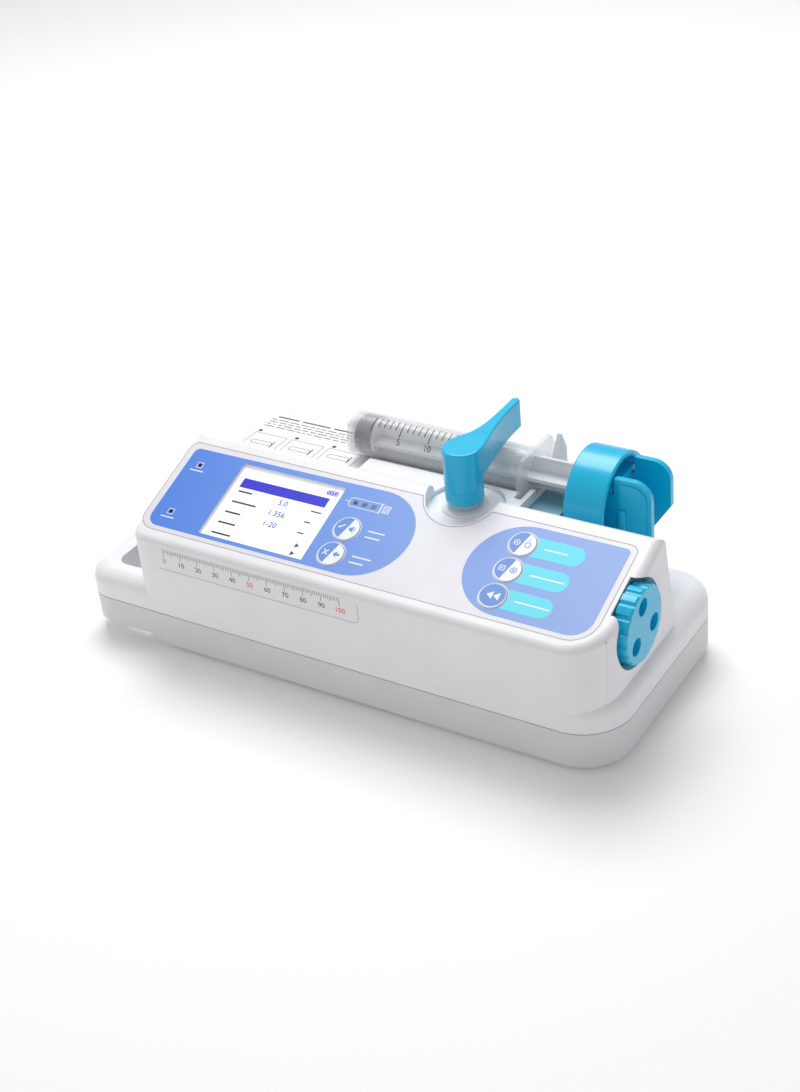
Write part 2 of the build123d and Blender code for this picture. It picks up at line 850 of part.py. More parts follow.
inlet_mid = (inlet_y0 + inlet_y1) / 2
mouth_end = console_left - socket_flange + inlet_mouth_depth
with BuildPart() as mains_inlet:
    block(
        console_left - socket_flange,
        console_left,
        inlet_y0 - socket_rim,
        inlet_y1 + socket_rim,
        inlet_z - inlet_height / 2 - socket_rim,
        inlet_z + inlet_height / 2 + socket_rim,
    )
    block(
        console_left - 0.1,
        console_left + inlet_depth,
        inlet_y0 + socket_gap,
        inlet_y1 - socket_gap,
        inlet_z - inlet_height / 2 + socket_gap,
        inlet_z + inlet_height / 2 - socket_gap,
    )
    with BuildSketch(Plane.YZ.offset(console_left - socket_flange)) as inlet_mouth:
        with Locations((inlet_mid, inlet_z)):
            Rectangle(inlet_mouth_width, inlet_mouth_height)
        chamfer(inlet_mouth.vertices().group_by(Axis.Y)[-1], inlet_mouth_chamfer)
    extrude(amount=inlet_mouth_depth, mode=Mode.SUBTRACT)
    for blade_y, blade_z in blade_spots:
        block(
            console_left + blade_recess,
            mouth_end + 1,
            inlet_mid + blade_y - blade_width / 2,
            inlet_mid + blade_y + blade_width / 2,
            inlet_z + blade_z - blade_width,
            inlet_z + blade_z + blade_width,
        )
finish(mains_inlet, "mains_inlet")

with BuildPart() as data_port:
    block(
        console_left - socket_flange,
        console_left + port_body,
        port_y0 + socket_gap,
        port_y1 - socket_gap,
        inlet_z - port_height / 2 + socket_gap,
        inlet_z + port_height / 2 - socket_gap,
    )
    block(
        console_left - socket_flange,
        console_left - socket_flange + port_depth,
        (port_y0 + port_y1 - port_opening) / 2,
        (port_y0 + port_y1 + port_opening) / 2,
        inlet_z - 4,
        inlet_z + 4,
        mode=Mode.SUBTRACT,
    )
finish(data_port, "data_port")

# ---------------------------------------------------------------- jog wheel
encoder_x1 = jog_pocket_x - wall - 0.2
encoder_x0 = encoder_x1 - encoder_length
with BuildPart() as jog_wheel:
    along_x(jog_face_x - jog_thickness, jog_face_x, jog_y, jog_z, jog_radius)
    chamfer(jog_wheel.faces().sort_by(Axis.X)[-1].edges(), 0.8)
    with BuildSketch(Plane.YZ.offset(jog_face_x)):
        with Locations((jog_y, jog_z)):
            with PolarLocations(jog_radius + jog_scallop_radius / 2, jog_scallops):
                Circle(jog_scallop_radius)
    extrude(amount=-jog_thickness, mode=Mode.SUBTRACT)
    with BuildSketch(Plane.YZ.offset(jog_face_x)):
        with Locations((jog_y, jog_z)):
            with PolarLocations(jog_dimple_pitch, 3, start_angle=97):
                Circle(jog_dimple_radius)
    extrude(amount=-jog_dimple_depth, mode=Mode.SUBTRACT)
    along_x(encoder_x0 + 1, jog_face_x - jog_thickness, jog_y, jog_z, jog_shaft / 2)
finish(jog_wheel, "jog_wheel")

with BuildPart() as jog_encoder:
    block(
        encoder_x0,
        encoder_x1,
        jog_y - encoder_size / 2,
        jog_y + encoder_size / 2,
        jog_z - encoder_size / 2,
        jog_z + encoder_size / 2,
    )
    chamfer(jog_encoder.edges().filter_by(Axis.X), 1)
    along_x(encoder_x0 - 1, encoder_x1 + 1, jog_y, jog_z, jog_shaft / 2 + running_fit, mode=Mode.SUBTRACT)
finish(jog_encoder, "jog_encoder")

# ---------------------------------------------------------------- drive
motor_z = screw_z - (gear_teeth + pinion_teeth) * gear_module / 2
gear_x1 = plate_left_x - gear_plate_gap
gear_x0 = gear_x1 - gear_thickness
rod_ys = (drive_y - rod_spacing / 2, drive_y + rod_spacing / 2)
carriage_x0 = left + carriage_from_left
carriage_x1 = carriage_x0 + carriage_length


def gear_face(teeth, first_angle, x, y, z):
    """Toothed outline on a YZ plane at x, with one tooth pointing along first_angle."""
    pitch_radius = gear_module * teeth / 2
    root = pitch_radius - 1.1 * gear_module
    tip = pitch_radius + 0.8 * gear_module
    with BuildSketch(Plane.YZ.offset(x)) as outline:
        with Locations((y, z)):
            Circle(root)
            with PolarLocations(0, teeth, start_angle=first_angle):
                Polygon(
                    (root - 0.3, -0.42 * gear_module),
                    (root - 0.3, 0.42 * gear_module),
                    (tip, 0.26 * gear_module),
                    (tip, -0.26 * gear_module),
                    align=None,
                )
    return outline.sketch


with BuildPart() as drive_frame:
    for end_x in (plate_left_x, plate_right_x):
        block(
            end_x,
            end_x + plate_thickness,
            drive_y - plate_half_width,
            drive_y + plate_half_width,
            floor_z,
            plate_top,
        )
        along_x(end_x - 1, end_x + plate_thickness + 1, drive_y, screw_z, bearing_od / 2, mode=Mode.SUBTRACT)
        for rod_y in rod_ys:
            along_x(
                end_x - 1,
                end_x + plate_thickness + 1,
                rod_y,
                screw_z,
                rod_diameter / 2,
                mode=Mode.SUBTRACT,
            )
    along_x(
        plate_left_x - 1,
        plate_left_x + plate_thickness + 1,
        drive_y,
        motor_z,
        motor_shaft / 2 + 0.5,
        mode=Mode.SUBTRACT,
    )
    block(
        plate_left_x,
        plate_right_x + plate_thickness,
        drive_y + plate_half_width,
        drive_y + plate_half_width + 1.6,
        10,
        plate_top - 3,
    )
finish(drive_frame, "drive_frame")

with BuildPart() as guide_rods:
    for rod_y in rod_ys:
        along_x(plate_left_x, plate_right_x + plate_thickness, rod_y, screw_z, rod_diameter / 2)
finish(guide_rods, "guide_rods")

with BuildPart() as screw_bearings:
    for bearing_x in (plate_left_x, plate_right_x):
        along_x(bearing_x, bearing_x + bearing_length, drive_y, screw_z, bearing_od / 2)
        along_x(
            bearing_x - 1,
            bearing_x + bearing_length + 1,
            drive_y,
            screw_z,
            screw_diameter / 2 + running_fit,
            mode=Mode.SUBTRACT,
        )
finish(screw_bearings, "screw_bearings")

with BuildPart() as stepper_motor:
    block(
        plate_left_x + plate_thickness,
        plate_left_x + plate_thickness + motor_length,
        drive_y - motor_size / 2,
        drive_y + motor_size / 2,
        motor_z - motor_size / 2,
        motor_z + motor_size / 2,
    )
    chamfer(stepper_motor.edges().filter_by(Axis.X), 3)
    along_x(
        plate_left_x + plate_thickness - 1,
        plate_left_x + plate_thickness + 6,
        drive_y,
        motor_z,
        motor_shaft / 2 + running_fit,
        mode=Mode.SUBTRACT,
    )
finish(stepper_motor, "stepper_motor")

with BuildPart() as motor_pinion:
    pinion_face = gear_face(pinion_teeth, 90 + 180 / pinion_teeth, gear_x0, drive_y, motor_z)
    extrude(pinion_face, amount=gear_thickness)
    along_x(gear_x0, plate_left_x + plate_thickness + 5, drive_y, motor_z, motor_shaft / 2)
finish(motor_pinion, "motor_pinion")

with BuildPart() as screw_gear:
    extrude(gear_face(gear_teeth, 270, gear_x0, drive_y, screw_z), amount=gear_thickness)
    along_x(gear_x0 - 1, gear_x1 + 1, drive_y, screw_z, screw_diameter / 2, mode=Mode.SUBTRACT)
    with BuildSketch(Plane.YZ.offset(gear_x0 - 1)):
        with Locations((drive_y, screw_z)):
            with PolarLocations(gear_module * gear_teeth * 0.31, 5):
                Circle(3.4)
    extrude(amount=gear_thickness + 2, mode=Mode.SUBTRACT)
finish(screw_gear, "screw_gear")

with BuildPart() as lead_screw:
    along_x(gear_x0 - 1, plate_right_x + plate_thickness + 1, drive_y, screw_z, screw_diameter / 2)
    chamfer(lead_screw.edges(), 0.5)
finish(lead_screw, "lead_screw")

with BuildPart() as carriage_block:
    block(
        carriage_x0,
        carriage_x1,
        drive_y - slide_half_width,
        drive_y + slide_half_width,
        carriage_bottom,
        slide_bottom,
    )
    for rod_y in rod_ys:
        along_x(carriage_x0 - 1, carriage_x1 + 1, rod_y, screw_z, bush_od / 2, mode=Mode.SUBTRACT)
    along_x(carriage_x0 - 1, carriage_x1 + 1, drive_y, screw_z, screw_diameter / 2 + 0.8, mode=Mode.SUBTRACT)
    block(
        carriage_x0 + nut_end_wall,
        carriage_x1 - nut_end_wall,
        drive_y - nut_half_width - nut_gap,
        drive_y + nut_half_width + nut_gap,
        carriage_bottom - 1,
        screw_z + 0.4,
        mode=Mode.SUBTRACT,
    )
finish(carriage_block, "carriage_block")

with BuildPart() as carriage_bushes:
    for rod_y in rod_ys:
        along_x(carriage_x0, carriage_x1, rod_y, screw_z, bush_od / 2)
        along_x(
            carriage_x0 - 1,
            carriage_x1 + 1,
            rod_y,
            screw_z,
            rod_diameter / 2 + running_fit,
            mode=Mode.SUBTRACT,
        )
finish(carriage_bushes, "carriage_bushes")

with BuildPart() as half_nut:
    block(
        carriage_x0 + nut_end_wall + nut_gap,
        carriage_x1 - nut_end_wall - nut_gap,
        drive_y - nut_half_width,
        drive_y + nut_half_width,
        carriage_bottom - 4,
        screw_z - 0.4,
    )
    along_x(carriage_x0, carriage_x1, drive_y, screw_z, screw_diameter / 2 + running_fit, mode=Mode.SUBTRACT)
finish(half_nut, "half_nut")

with BuildPart() as slide_plate:
    block(
        carriage_x0,
        hood_right,
        drive_y - slide_half_width,
        drive_y + slide_half_width,
        slide_bottom,
        slide_top,
    )
    fillet(slide_plate.edges().filter_by(Axis.X), 1.5)
finish(slide_plate, "slide_plate")

with BuildPart() as slide_guide:
    block(
        block_right,
        block_right + guide_length,
        drive_y - slide_half_width - guide_rim,
        drive_y + slide_half_width + guide_rim,
        slide_bottom - 5,
        guide_top,
    )
    fillet(slide_guide.edges().filter_by(Axis.X).group_by(Axis.Z)[-1], 2)
    block(
        block_right - 1,
        block_right + guide_length + 1,
        drive_y - slide_half_width - slide_gap,
        drive_y + slide_half_width + slide_gap,
        slide_bottom - slide_gap,
        slide_top + slide_gap,
        mode=Mode.SUBTRACT,
    )
finish(slide_guide, "slide_guide")

# ---------------------------------------------------------------- pusher
inner_hood = hood_radius - hood_wall
pin_x = hood_right - pin_from_rim
pin_offset = lever_half_gap - 1.0

with BuildPart() as pusher_hood:
    with BuildSketch(Plane.YZ.offset(hood_left)):
        with Locations((drive_y, hood_z)):
            Circle(hood_radius)
        with Locations((drive_y, (hood_z + hood_bottom) / 2)):
            Rectangle(2 * hood_radius, hood_z - hood_bottom)
        with Locations((drive_y, hood_z)):
            Circle(inner_hood, mode=Mode.SUBTRACT)
        with Locations((drive_y, hood_bottom)):
            Rectangle(2 * inner_hood, 2 * (hood_z - hood_bottom), mode=Mode.SUBTRACT)
    extrude(amount=hood_length)
    fillet(pusher_hood.faces().sort_by(Axis.X)[0].edges(), hood_edge)
    fillet(pusher_hood.faces().sort_by(Axis.X)[-1].edges(), hood_edge)
finish(pusher_hood, "pusher_hood")

with BuildPart() as pusher_body:
    with BuildSketch(Plane.YZ.offset(plate_x)):
        with Locations((drive_y, hood_z)):
            Circle(inner_hood)
        with Locations((drive_y, (hood_z + slide_top) / 2)):
            Rectangle(2 * inner_hood, hood_z - slide_top)
        with Locations((drive_y, slide_top - hood_radius)):
            Rectangle(2 * hood_radius, 2 * hood_radius, mode=Mode.SUBTRACT)
    extrude(amount=pusher_plate)
    block(
        plate_x + pusher_plate,
        pin_x + bracket_reach,
        drive_y - pin_offset - bracket_reach,
        drive_y + pin_offset + bracket_reach,
        bracket_z,
        bracket_z + bracket_thickness,
    )
finish(pusher_body, "pusher_body")

with BuildPart() as lever_pins:
    for side in (-1, 1):
        upright(pin_x, drive_y + side * pin_offset, slide_top, bracket_z, pin_diameter / 2)
finish(lever_pins, "lever_pins")

lever_outer_x = hood_right + lever_reach
for lever_name, side in (("lever_front", -1), ("lever_rear", 1)):
    plate_y = drive_y + side * lever_half_gap
    foot = slide_bottom if side < 0 else slide_bottom + 14.0
    with BuildPart() as lever:
        with BuildSketch(Plane.XZ.offset(-plate_y)) as lever_face:
            with BuildLine():
                Polyline(
                    (pin_x, slide_top + bracket_gap),
                    (hood_right + lever_angle_room, slide_top + bracket_gap),
                    (hood_right + lever_angle_room, slide_bottom + 2),
                    (lever_outer_x - 12.0 if side > 0 else lever_outer_x, slide_bottom + 2),
                    (lever_outer_x, foot + 6),
                    (lever_outer_x, lever_top),
                    (hood_right + lever_angle_room, lever_top),
                    (hood_right + lever_angle_room, bracket_z - bracket_gap),
                    (pin_x, bracket_z - bracket_gap),
                    close=True,
                )
            make_face()
            top_corner = lever_face.vertices().sort_by_distance(Vector(lever_outer_x, lever_top, 0))[0]
            fillet(top_corner, lever_round)
        extrude(amount=-side * lever_thickness)
        upright(
            pin_x,
            drive_y + side * pin_offset,
            slide_top + bracket_gap,
            bracket_z - bracket_gap,
            lever_hub / 2,
        )
        upright(
            pin_x,
            drive_y + side * pin_offset,
            slide_bottom,
            lever_top,
            pin_diameter / 2 + running_fit,
            mode=Mode.SUBTRACT,
        )
    finish(lever, lever_name)

# ---------------------------------------------------------------- syringe clamp
bush_bottom = well_floor - bush_length
with BuildPart() as clamp_bush:
    upright(clamp_x, clamp_y, well_floor, well_floor + bush_flange_thickness, bush_flange / 2)
    upright(clamp_x, clamp_y, bush_bottom, well_floor, bush_radius)
    upright(
        clamp_x,
        clamp_y,
        bush_bottom - 1,
        well_floor + 2 * bush_flange_thickness,
        clamp_shaft_diameter / 2 + running_fit,
        mode=Mode.SUBTRACT,
    )
finish(clamp_bush, "clamp_bush")

with BuildPart() as clamp_shaft:
    upright(clamp_x, clamp_y, clamp_foot_z, clamp_bore_top, clamp_shaft_diameter / 2)
    upright(clamp_x, clamp_y, clamp_foot_z, clamp_foot_z + clamp_foot_thickness, clamp_foot_radius)
finish(clamp_shaft, "clamp_shaft")

with BuildPart() as clamp_arm:
    upright(clamp_x, clamp_y, clamp_sleeve_bottom, clamp_top, clamp_sleeve_diameter / 2)
    with BuildSketch(Plane.XY.offset(clamp_arm_z)):
        with BuildLine():
            arm_left = Spline(
                (clamp_x - clamp_sleeve_diameter / 2, clamp_y),
                (clamp_x - 3.8, clamp_y + 13.2),
                (clamp_x + clamp_tip_x - clamp_tip_radius, clamp_y + 28),
                (clamp_x + clamp_tip_x - clamp_tip_radius, clamp_y + clamp_reach - clamp_tip_radius),
                tangents=[(0, 1), (0, 1)],
            )
            arm_right = Spline(
                (clamp_x + clamp_sleeve_diameter / 2, clamp_y),
                (clamp_x + 6.4, clamp_y + 17.4),
                (clamp_x + clamp_tip_x + clamp_tip_radius, clamp_y + clamp_reach - clamp_tip_radius),
                tangents=[(0, 1), (0, 1)],
            )
            ThreePointArc(arm_left @ 1, (clamp_x + clamp_tip_x, clamp_y + clamp_reach), arm_right @ 1)
            Line(arm_left @ 0, arm_right @ 0)
        make_face()
    extrude(amount=clamp_top - clamp_arm_z)
    fillet(clamp_arm.faces().sort_by(Axis.Z)[-1].edges(), clamp_edge)
    upright(
        clamp_x,
        clamp_y,
        clamp_sleeve_bottom - 1,
        clamp_bore_top,
        clamp_shaft_diameter / 2,
        mode=Mode.SUBTRACT,
    )
finish(clamp_arm, "clamp_arm")

with BuildPart() as clamp_collar:
    upright(clamp_x, clamp_y, collar_z, collar_z + collar_height, collar_radius)
    block(
        clamp_x,
        clamp_x + finger_reach,
        clamp_y - finger_half_width,
        clamp_y + finger_half_width,
        collar_z + 1,
        collar_z + collar_height - 1,
    )
    upright(
        clamp_x,
        clamp_y,
        collar_z - 1,
        collar_z + collar_height + 1,
        clamp_shaft_diameter / 2 + running_fit,
        mode=Mode.SUBTRACT,
    )
finish(clamp_collar, "clamp_collar")

spring_foot = collar_z + collar_height + spring_end_gap + spring_wire / 2
with BuildPart() as clamp_spring:
    with BuildLine() as coil:
        Helix(
            pitch=spring_pitch,
            height=bush_bottom - spring_end_gap - spring_wire / 2 - spring_foot,
            radius=spring_radius,
            center=(clamp_x, clamp_y, spring_foot),
        )
    with BuildSketch(Plane(origin=coil.line @ 0, z_dir=coil.line % 0)):
        Circle(spring_wire / 2)
    sweep()
finish(clamp_spring, "clamp_spring")

sensor_x = clamp_x + finger_reach + sensor_gap
with BuildPart() as size_sensor:
    block(
        sensor_x + sensor_body,
        sensor_x + sensor_body + board_thickness,
        clamp_y - sensor_half_width,
        clamp_y + sensor_half_width,
        floor_z,
        sensor_top,
    )
    block(
        sensor_x,
        sensor_x + sensor_body,
        clamp_y - sensor_half_width / 2,
        clamp_y + sensor_half_width / 2,
        collar_z - 4,
        collar_z + 2 * clamp_lift + 2,
    )
finish(size_sensor, "size_sensor")

# ---------------------------------------------------------------- syringe
barrel_id = barrel_od - 2 * barrel_wall
stopper_x = barrel_left + barrel_end_wall + stopper_gap
rod_x0 = stopper_x + stopper_length
with BuildPart() as syringe_barrel:
    along_x(barrel_left, flange_left + flange_thickness, syringe_y, syringe_z, barrel_od / 2)
    with BuildSketch(Plane.YZ.offset(flange_left)):
        with Locations((syringe_y, syringe_z)):
            Circle(flange_width / 2)
            Rectangle(flange_width, flange_height, mode=Mode.INTERSECT)
    extrude(amount=flange_thickness)
    along_x(barrel_left - nozzle_length, barrel_left + 1, syringe_y + nozzle_offset, syringe_z, nozzle_od / 2)
    along_x(
        barrel_left + barrel_end_wall,
        flange_left + 2 * flange_thickness,
        syringe_y,
        syringe_z,
        barrel_id / 2,
        mode=Mode.SUBTRACT,
    )
    along_x(
        barrel_left - nozzle_length - 1,
        barrel_left + barrel_end_wall + 1,
        syringe_y + nozzle_offset,
        syringe_z,
        nozzle_bore / 2,
        mode=Mode.SUBTRACT,
    )
finish(syringe_barrel, "syringe_barrel")

stopper_radius = barrel_id / 2 - stopper_clearance
with BuildPart() as syringe_stopper:
    along_x(stopper_x, stopper_x + stopper_length, syringe_y, syringe_z, stopper_radius - stopper_groove)
    for ring_x in (stopper_x + 1.2, stopper_x + stopper_length - stopper_ring):
        along_x(ring_x, ring_x + stopper_ring, syringe_y, syringe_z, stopper_radius)
finish(syringe_stopper, "syringe_stopper")

with BuildPart() as syringe_plunger:
    along_x(rod_x0, rod_x0 + rod_web, syringe_y, syringe_z, rod_width / 2 + 0.7)
    block(
        rod_x0,
        head_left,
        syringe_y - rod_width / 2,
        syringe_y + rod_width / 2,
        syringe_z - rod_web / 2,
        syringe_z + rod_web / 2,
    )
    block(
        rod_x0,
        head_left,
        syringe_y - rod_web / 2,
        syringe_y + rod_web / 2,
        syringe_z - rod_width / 2,
        syringe_z + rod_width / 2,
    )
    along_x(head_left, head_left + thumb_rest_thickness, syringe_y, syringe_z, thumb_rest_diameter / 2)
finish(syringe_plunger, "syringe_plunger")
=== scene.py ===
"""Looks of a bench-top syringe pump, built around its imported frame."""
from __future__ import annotations

import json
import logging
import math
from dataclasses import dataclass, field
from enum import Enum
from typing import Sequence

import bmesh
import bpy
from mathutils import Matrix, Vector


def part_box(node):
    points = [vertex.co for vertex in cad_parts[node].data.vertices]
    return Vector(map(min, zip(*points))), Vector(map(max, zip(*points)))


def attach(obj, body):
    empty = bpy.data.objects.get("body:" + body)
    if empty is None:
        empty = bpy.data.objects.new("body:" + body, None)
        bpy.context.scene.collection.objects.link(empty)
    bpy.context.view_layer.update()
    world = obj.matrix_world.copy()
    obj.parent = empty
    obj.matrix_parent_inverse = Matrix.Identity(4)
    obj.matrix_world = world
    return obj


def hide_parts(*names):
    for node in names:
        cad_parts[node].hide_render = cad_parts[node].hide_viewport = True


LOG = logging.getLogger("syringe_pump")
MM = 0.001
INK = 0.03

Point = tuple[float, float]
Colour = tuple[float, float, float]
Outline = list[Point]


class Body(Enum):
    """The moving bodies that new pieces ride on."""

    CASING = "casing"
    FRONT_LEVER = "front_lever"
    REAR_LEVER = "rear_lever"
    CLAMP = "clamp"
    ENTER = "enter_key_cap"
    CANCEL = "cancel_key_cap"
    POWER = "power_key_cap"
    START = "start_key_cap"
    BOLUS = "bolus_key_cap"


class Slot(Enum):
    """Names of the record's material slots."""

    HOUSING = "housing_white"
    OVERLAY = "overlay_film"
    WINDOW = "clear_window"
    SCREEN = "screen_white"
    KEY = "key_plastic"
    BLACK = "black_plastic"
    STEEL = "steel"
    RUBBER = "foot_rubber"
    BLUE = "blue_plastic"
    TEAL = "teal_plastic"
    LABEL = "label_paper"
    CLEAR = "clear_plastic"
    BRASS = "brass_insert"


class KeyMark(Enum):
    """The pictures printed on the key tops."""

    ENTER = "enter"
    CANCEL = "cancel"
    POWER = "power"
    START = "start"
    FAST = "fast"


def srgb(red: int, green: int, blue: int) -> Colour:
    """Returns the linear colour of three 0 to 255 display values."""
    return tuple((value / 255) ** 2.2 for value in (red, green, blue))


# ------------------------------------------------------------------ materials
class Graph:
    """Builds one material's nodes around a Principled shader."""

    def __init__(self, name: str) -> None:
        """Starts an empty material.

        Args:
            name: The material's name.
        """
        self.material = bpy.data.materials.new(name)
        self.material.use_nodes = True
        self.tree = self.material.node_tree
        self.shader = self.tree.nodes["Principled BSDF"]
        self.place = self.node("ShaderNodeTexCoord").outputs["Object"]

    def node(self, kind: str, **settings: object) -> bpy.types.Node:
        """Adds a node and returns it.

        Args:
            kind: The node's type name.
            **settings: Attributes to set on it.
        """
        made = self.tree.nodes.new(kind)
        for key, value in settings.items():
            setattr(made, key, value)
        return made

    def join(self, source: bpy.types.NodeSocket, target: bpy.types.NodeSocket) -> None:
        """Links two sockets."""
        self.tree.links.new(source, target)

    def set(self, **values: object) -> None:
        """Sets shader inputs, named with underscores for spaces."""
        for key, value in values.items():
            self.shader.inputs[key.replace("_", " ")].default_value = value

    def noise(
        self,
        size_mm: float,
        detail: float = 3.0,
        stretch: Sequence[float] = (1, 1, 1),
    ) -> bpy.types.NodeSocket:
        """Returns the output of a noise pattern.

        Args:
            size_mm: Size of one blotch in millimetres.
            detail: Number of finer layers.
            stretch: Scale of the pattern along each axis.

        Returns:
            The noise's value socket.
        """
        mapping = self.node("ShaderNodeMapping")
        mapping.inputs["Scale"].default_value = stretch
        pattern = self.node("ShaderNodeTexNoise")
        pattern.inputs["Scale"].default_value = 1 / (size_mm * MM)
        pattern.inputs["Detail"].default_value = detail
        self.join(self.place, mapping.inputs["Vector"])
        self.join(mapping.outputs["Vector"], pattern.inputs["Vector"])
        return pattern.outputs["Fac"]

    def ranged(
        self,
        source: bpy.types.NodeSocket,
        low: float,
        high: float,
        start: float = 0.3,
        end: float = 0.7,
    ) -> bpy.types.NodeSocket:
        """Returns source stretched from start..end to low..high."""
        ranged = self.node("ShaderNodeMapRange")
        ranged.inputs["From Min"].default_value = start
        ranged.inputs["From Max"].default_value = end
        ranged.inputs["To Min"].default_value = low
        ranged.inputs["To Max"].default_value = high
        self.join(source, ranged.inputs["Value"])
        return ranged.outputs["Result"]

    def blend(self, factor: bpy.types.NodeSocket, first: object, second: object) -> bpy.types.NodeSocket:
        """Returns a colour between two colours or sockets."""
        mix = self.node("ShaderNodeMix", data_type="RGBA")
        self.join(factor, mix.inputs["Factor"])
        for value, socket in ((first, mix.inputs["A"]), (second, mix.inputs["B"])):
            if isinstance(value, tuple):
                socket.default_value = (*value, 1.0)
            else:
                self.join(value, socket)
        return mix.outputs["Result"]

    def mottle(self, colour: Colour, amount: float, size_mm: float) -> bpy.types.NodeSocket:
        """Returns colour with soft lighter and darker clouds."""
        dark = tuple(part * (1 - amount) for part in colour)
        light = tuple(min(1.0, part * (1 + amount)) for part in colour)
        return self.blend(self.ranged(self.noise(size_mm), 0, 1), dark, light)

    def soft_edge(self, radius_mm: float) -> bpy.types.NodeSocket:
        """Returns a normal that rounds sharp edges."""
        bevel = self.node("ShaderNodeBevel", samples=4)
        bevel.inputs["Radius"].default_value = radius_mm * MM
        return bevel.outputs["Normal"]

    def edge_mask(self, radius_mm: float) -> bpy.types.NodeSocket:
        """Returns 1 along convex and concave edges and 0 on open faces."""
        geometry = self.node("ShaderNodeNewGeometry")
        facing = self.node("ShaderNodeVectorMath", operation="DOT_PRODUCT")
        self.join(self.soft_edge(radius_mm), facing.inputs[0])
        self.join(geometry.outputs["Normal"], facing.inputs[1])
        return self.ranged(facing.outputs["Value"], 1, 0, 0.8, 0.99)

    def bump(
        self,
        height: bpy.types.NodeSocket,
        depth_mm: float,
        strength: float,
        normal: bpy.types.NodeSocket | None = None,
    ) -> bpy.types.NodeSocket:
        """Returns a normal bent by a height pattern.

        Args:
            height: The pattern's socket.
            depth_mm: Height of a full step in millimetres.
            strength: Share of the bend that shows.
            normal: A normal socket to start from.

        Returns:
            The bent normal's socket.
        """
        bump = self.node("ShaderNodeBump")
        bump.inputs["Strength"].default_value = strength
        bump.inputs["Distance"].default_value = depth_mm * MM
        self.join(height, bump.inputs["Height"])
        if normal is not None:
            self.join(normal, bump.inputs["Normal"])
        return bump.outputs["Normal"]


@dataclass(frozen=True)
class MouldedPlastic:
    """An injection-moulded plastic with a spark-eroded grain and slightly worn edges."""

    colour: Colour
    roughness: float = 0.4
    grain: float = 0.5
    depth: float = 0.03
    mottle: float = 0.02
    edge: float = 0.35
    wear: float = 0.05
    coat: float = 0.0
    glow: float = 0.0

    def make(self, name: str) -> bpy.types.Material:
        """Returns the finish as a material called name."""
        graph = Graph(name)
        clouds = graph.mottle(self.colour, self.mottle, 22.0)
        lighter = tuple(min(1.0, part + self.wear) for part in self.colour)
        tone = graph.blend(graph.edge_mask(self.edge), clouds, lighter)
        graph.join(tone, graph.shader.inputs["Base Color"])
        shine = graph.ranged(graph.noise(9.0), self.roughness - 0.04, self.roughness + 0.05)
        graph.join(shine, graph.shader.inputs["Roughness"])
        grain = graph.bump(graph.noise(self.grain, 2.0), self.depth, 0.5, graph.soft_edge(self.edge))
        graph.join(grain, graph.shader.inputs["Normal"])
        graph.set(Coat_Weight=self.coat, Coat_Roughness=0.12)
        if self.glow:
            graph.set(Emission_Color=(*self.colour, 1.0), Emission_Strength=self.glow)
        return graph.material


@dataclass(frozen=True)
class PrintedInk:
    """A flat screen-printed ink, with a slow change of tone along the body."""

    colour: Colour
    far_colour: Colour | None = None
    start: float = 0.0
    end: float = 1.0
    roughness: float = 0.42
    glow: float = 0.0

    def make(self, name: str) -> bpy.types.Material:
        """Returns the finish as a material called name."""
        graph = Graph(name)
        base: object = self.colour
        if self.far_colour is not None:
            split = graph.node("ShaderNodeSeparateXYZ")
            graph.join(graph.place, split.inputs["Vector"])
            along = graph.ranged(split.outputs["X"], 0, 1, self.start, self.end)
            base = graph.blend(along, self.colour, self.far_colour)
        speckle = graph.ranged(graph.noise(1.2, 4.0), 0.0, 0.06)
        darker = tuple(part * 0.7 for part in self.colour)
        tone = graph.blend(speckle, base, darker)
        graph.join(tone, graph.shader.inputs["Base Color"])
        graph.join(graph.bump(graph.noise(0.3, 2.0), 0.01, 0.3), graph.shader.inputs["Normal"])
        graph.set(Roughness=self.roughness)
        if self.glow:
            graph.join(tone, graph.shader.inputs["Emission Color"])
            graph.set(Emission_Strength=self.glow)
        return graph.material


@dataclass(frozen=True)
class Metal:
    """A turned, ground or cast metal with fine streaks."""

    colour: Colour
    roughness: float = 0.3
    streak: tuple[float, float, float] = (0.05, 1.0, 1.0)
    size: float = 0.4

    def make(self, name: str) -> bpy.types.Material:
        """Returns the finish as a material called name."""
        graph = Graph(name)
        graph.join(graph.mottle(self.colour, 0.06, 6.0), graph.shader.inputs["Base Color"])
        streaks = graph.noise(self.size, 4.0, self.streak)
        shine = graph.ranged(streaks, self.roughness - 0.08, self.roughness + 0.12)
        graph.join(shine, graph.shader.inputs["Roughness"])
        graph.join(graph.bump(streaks, 0.01, 0.25, graph.soft_edge(0.2)), graph.shader.inputs["Normal"])
        graph.set(Metallic=1.0)
        return graph.material


@dataclass(frozen=True)
class Rubber:
    """A soft matt rubber."""

    colour: Colour
    roughness: float = 0.75

    def make(self, name: str) -> bpy.types.Material:
        """Returns the finish as a material called name."""
        graph = Graph(name)
        graph.join(graph.mottle(self.colour, 0.12, 3.0), graph.shader.inputs["Base Color"])
        skin = graph.bump(graph.noise(0.25, 4.0), 0.04, 0.5, graph.soft_edge(0.3))
        graph.join(skin, graph.shader.inputs["Normal"])
        graph.set(Roughness=self.roughness, Sheen_Weight=0.15)
        return graph.material


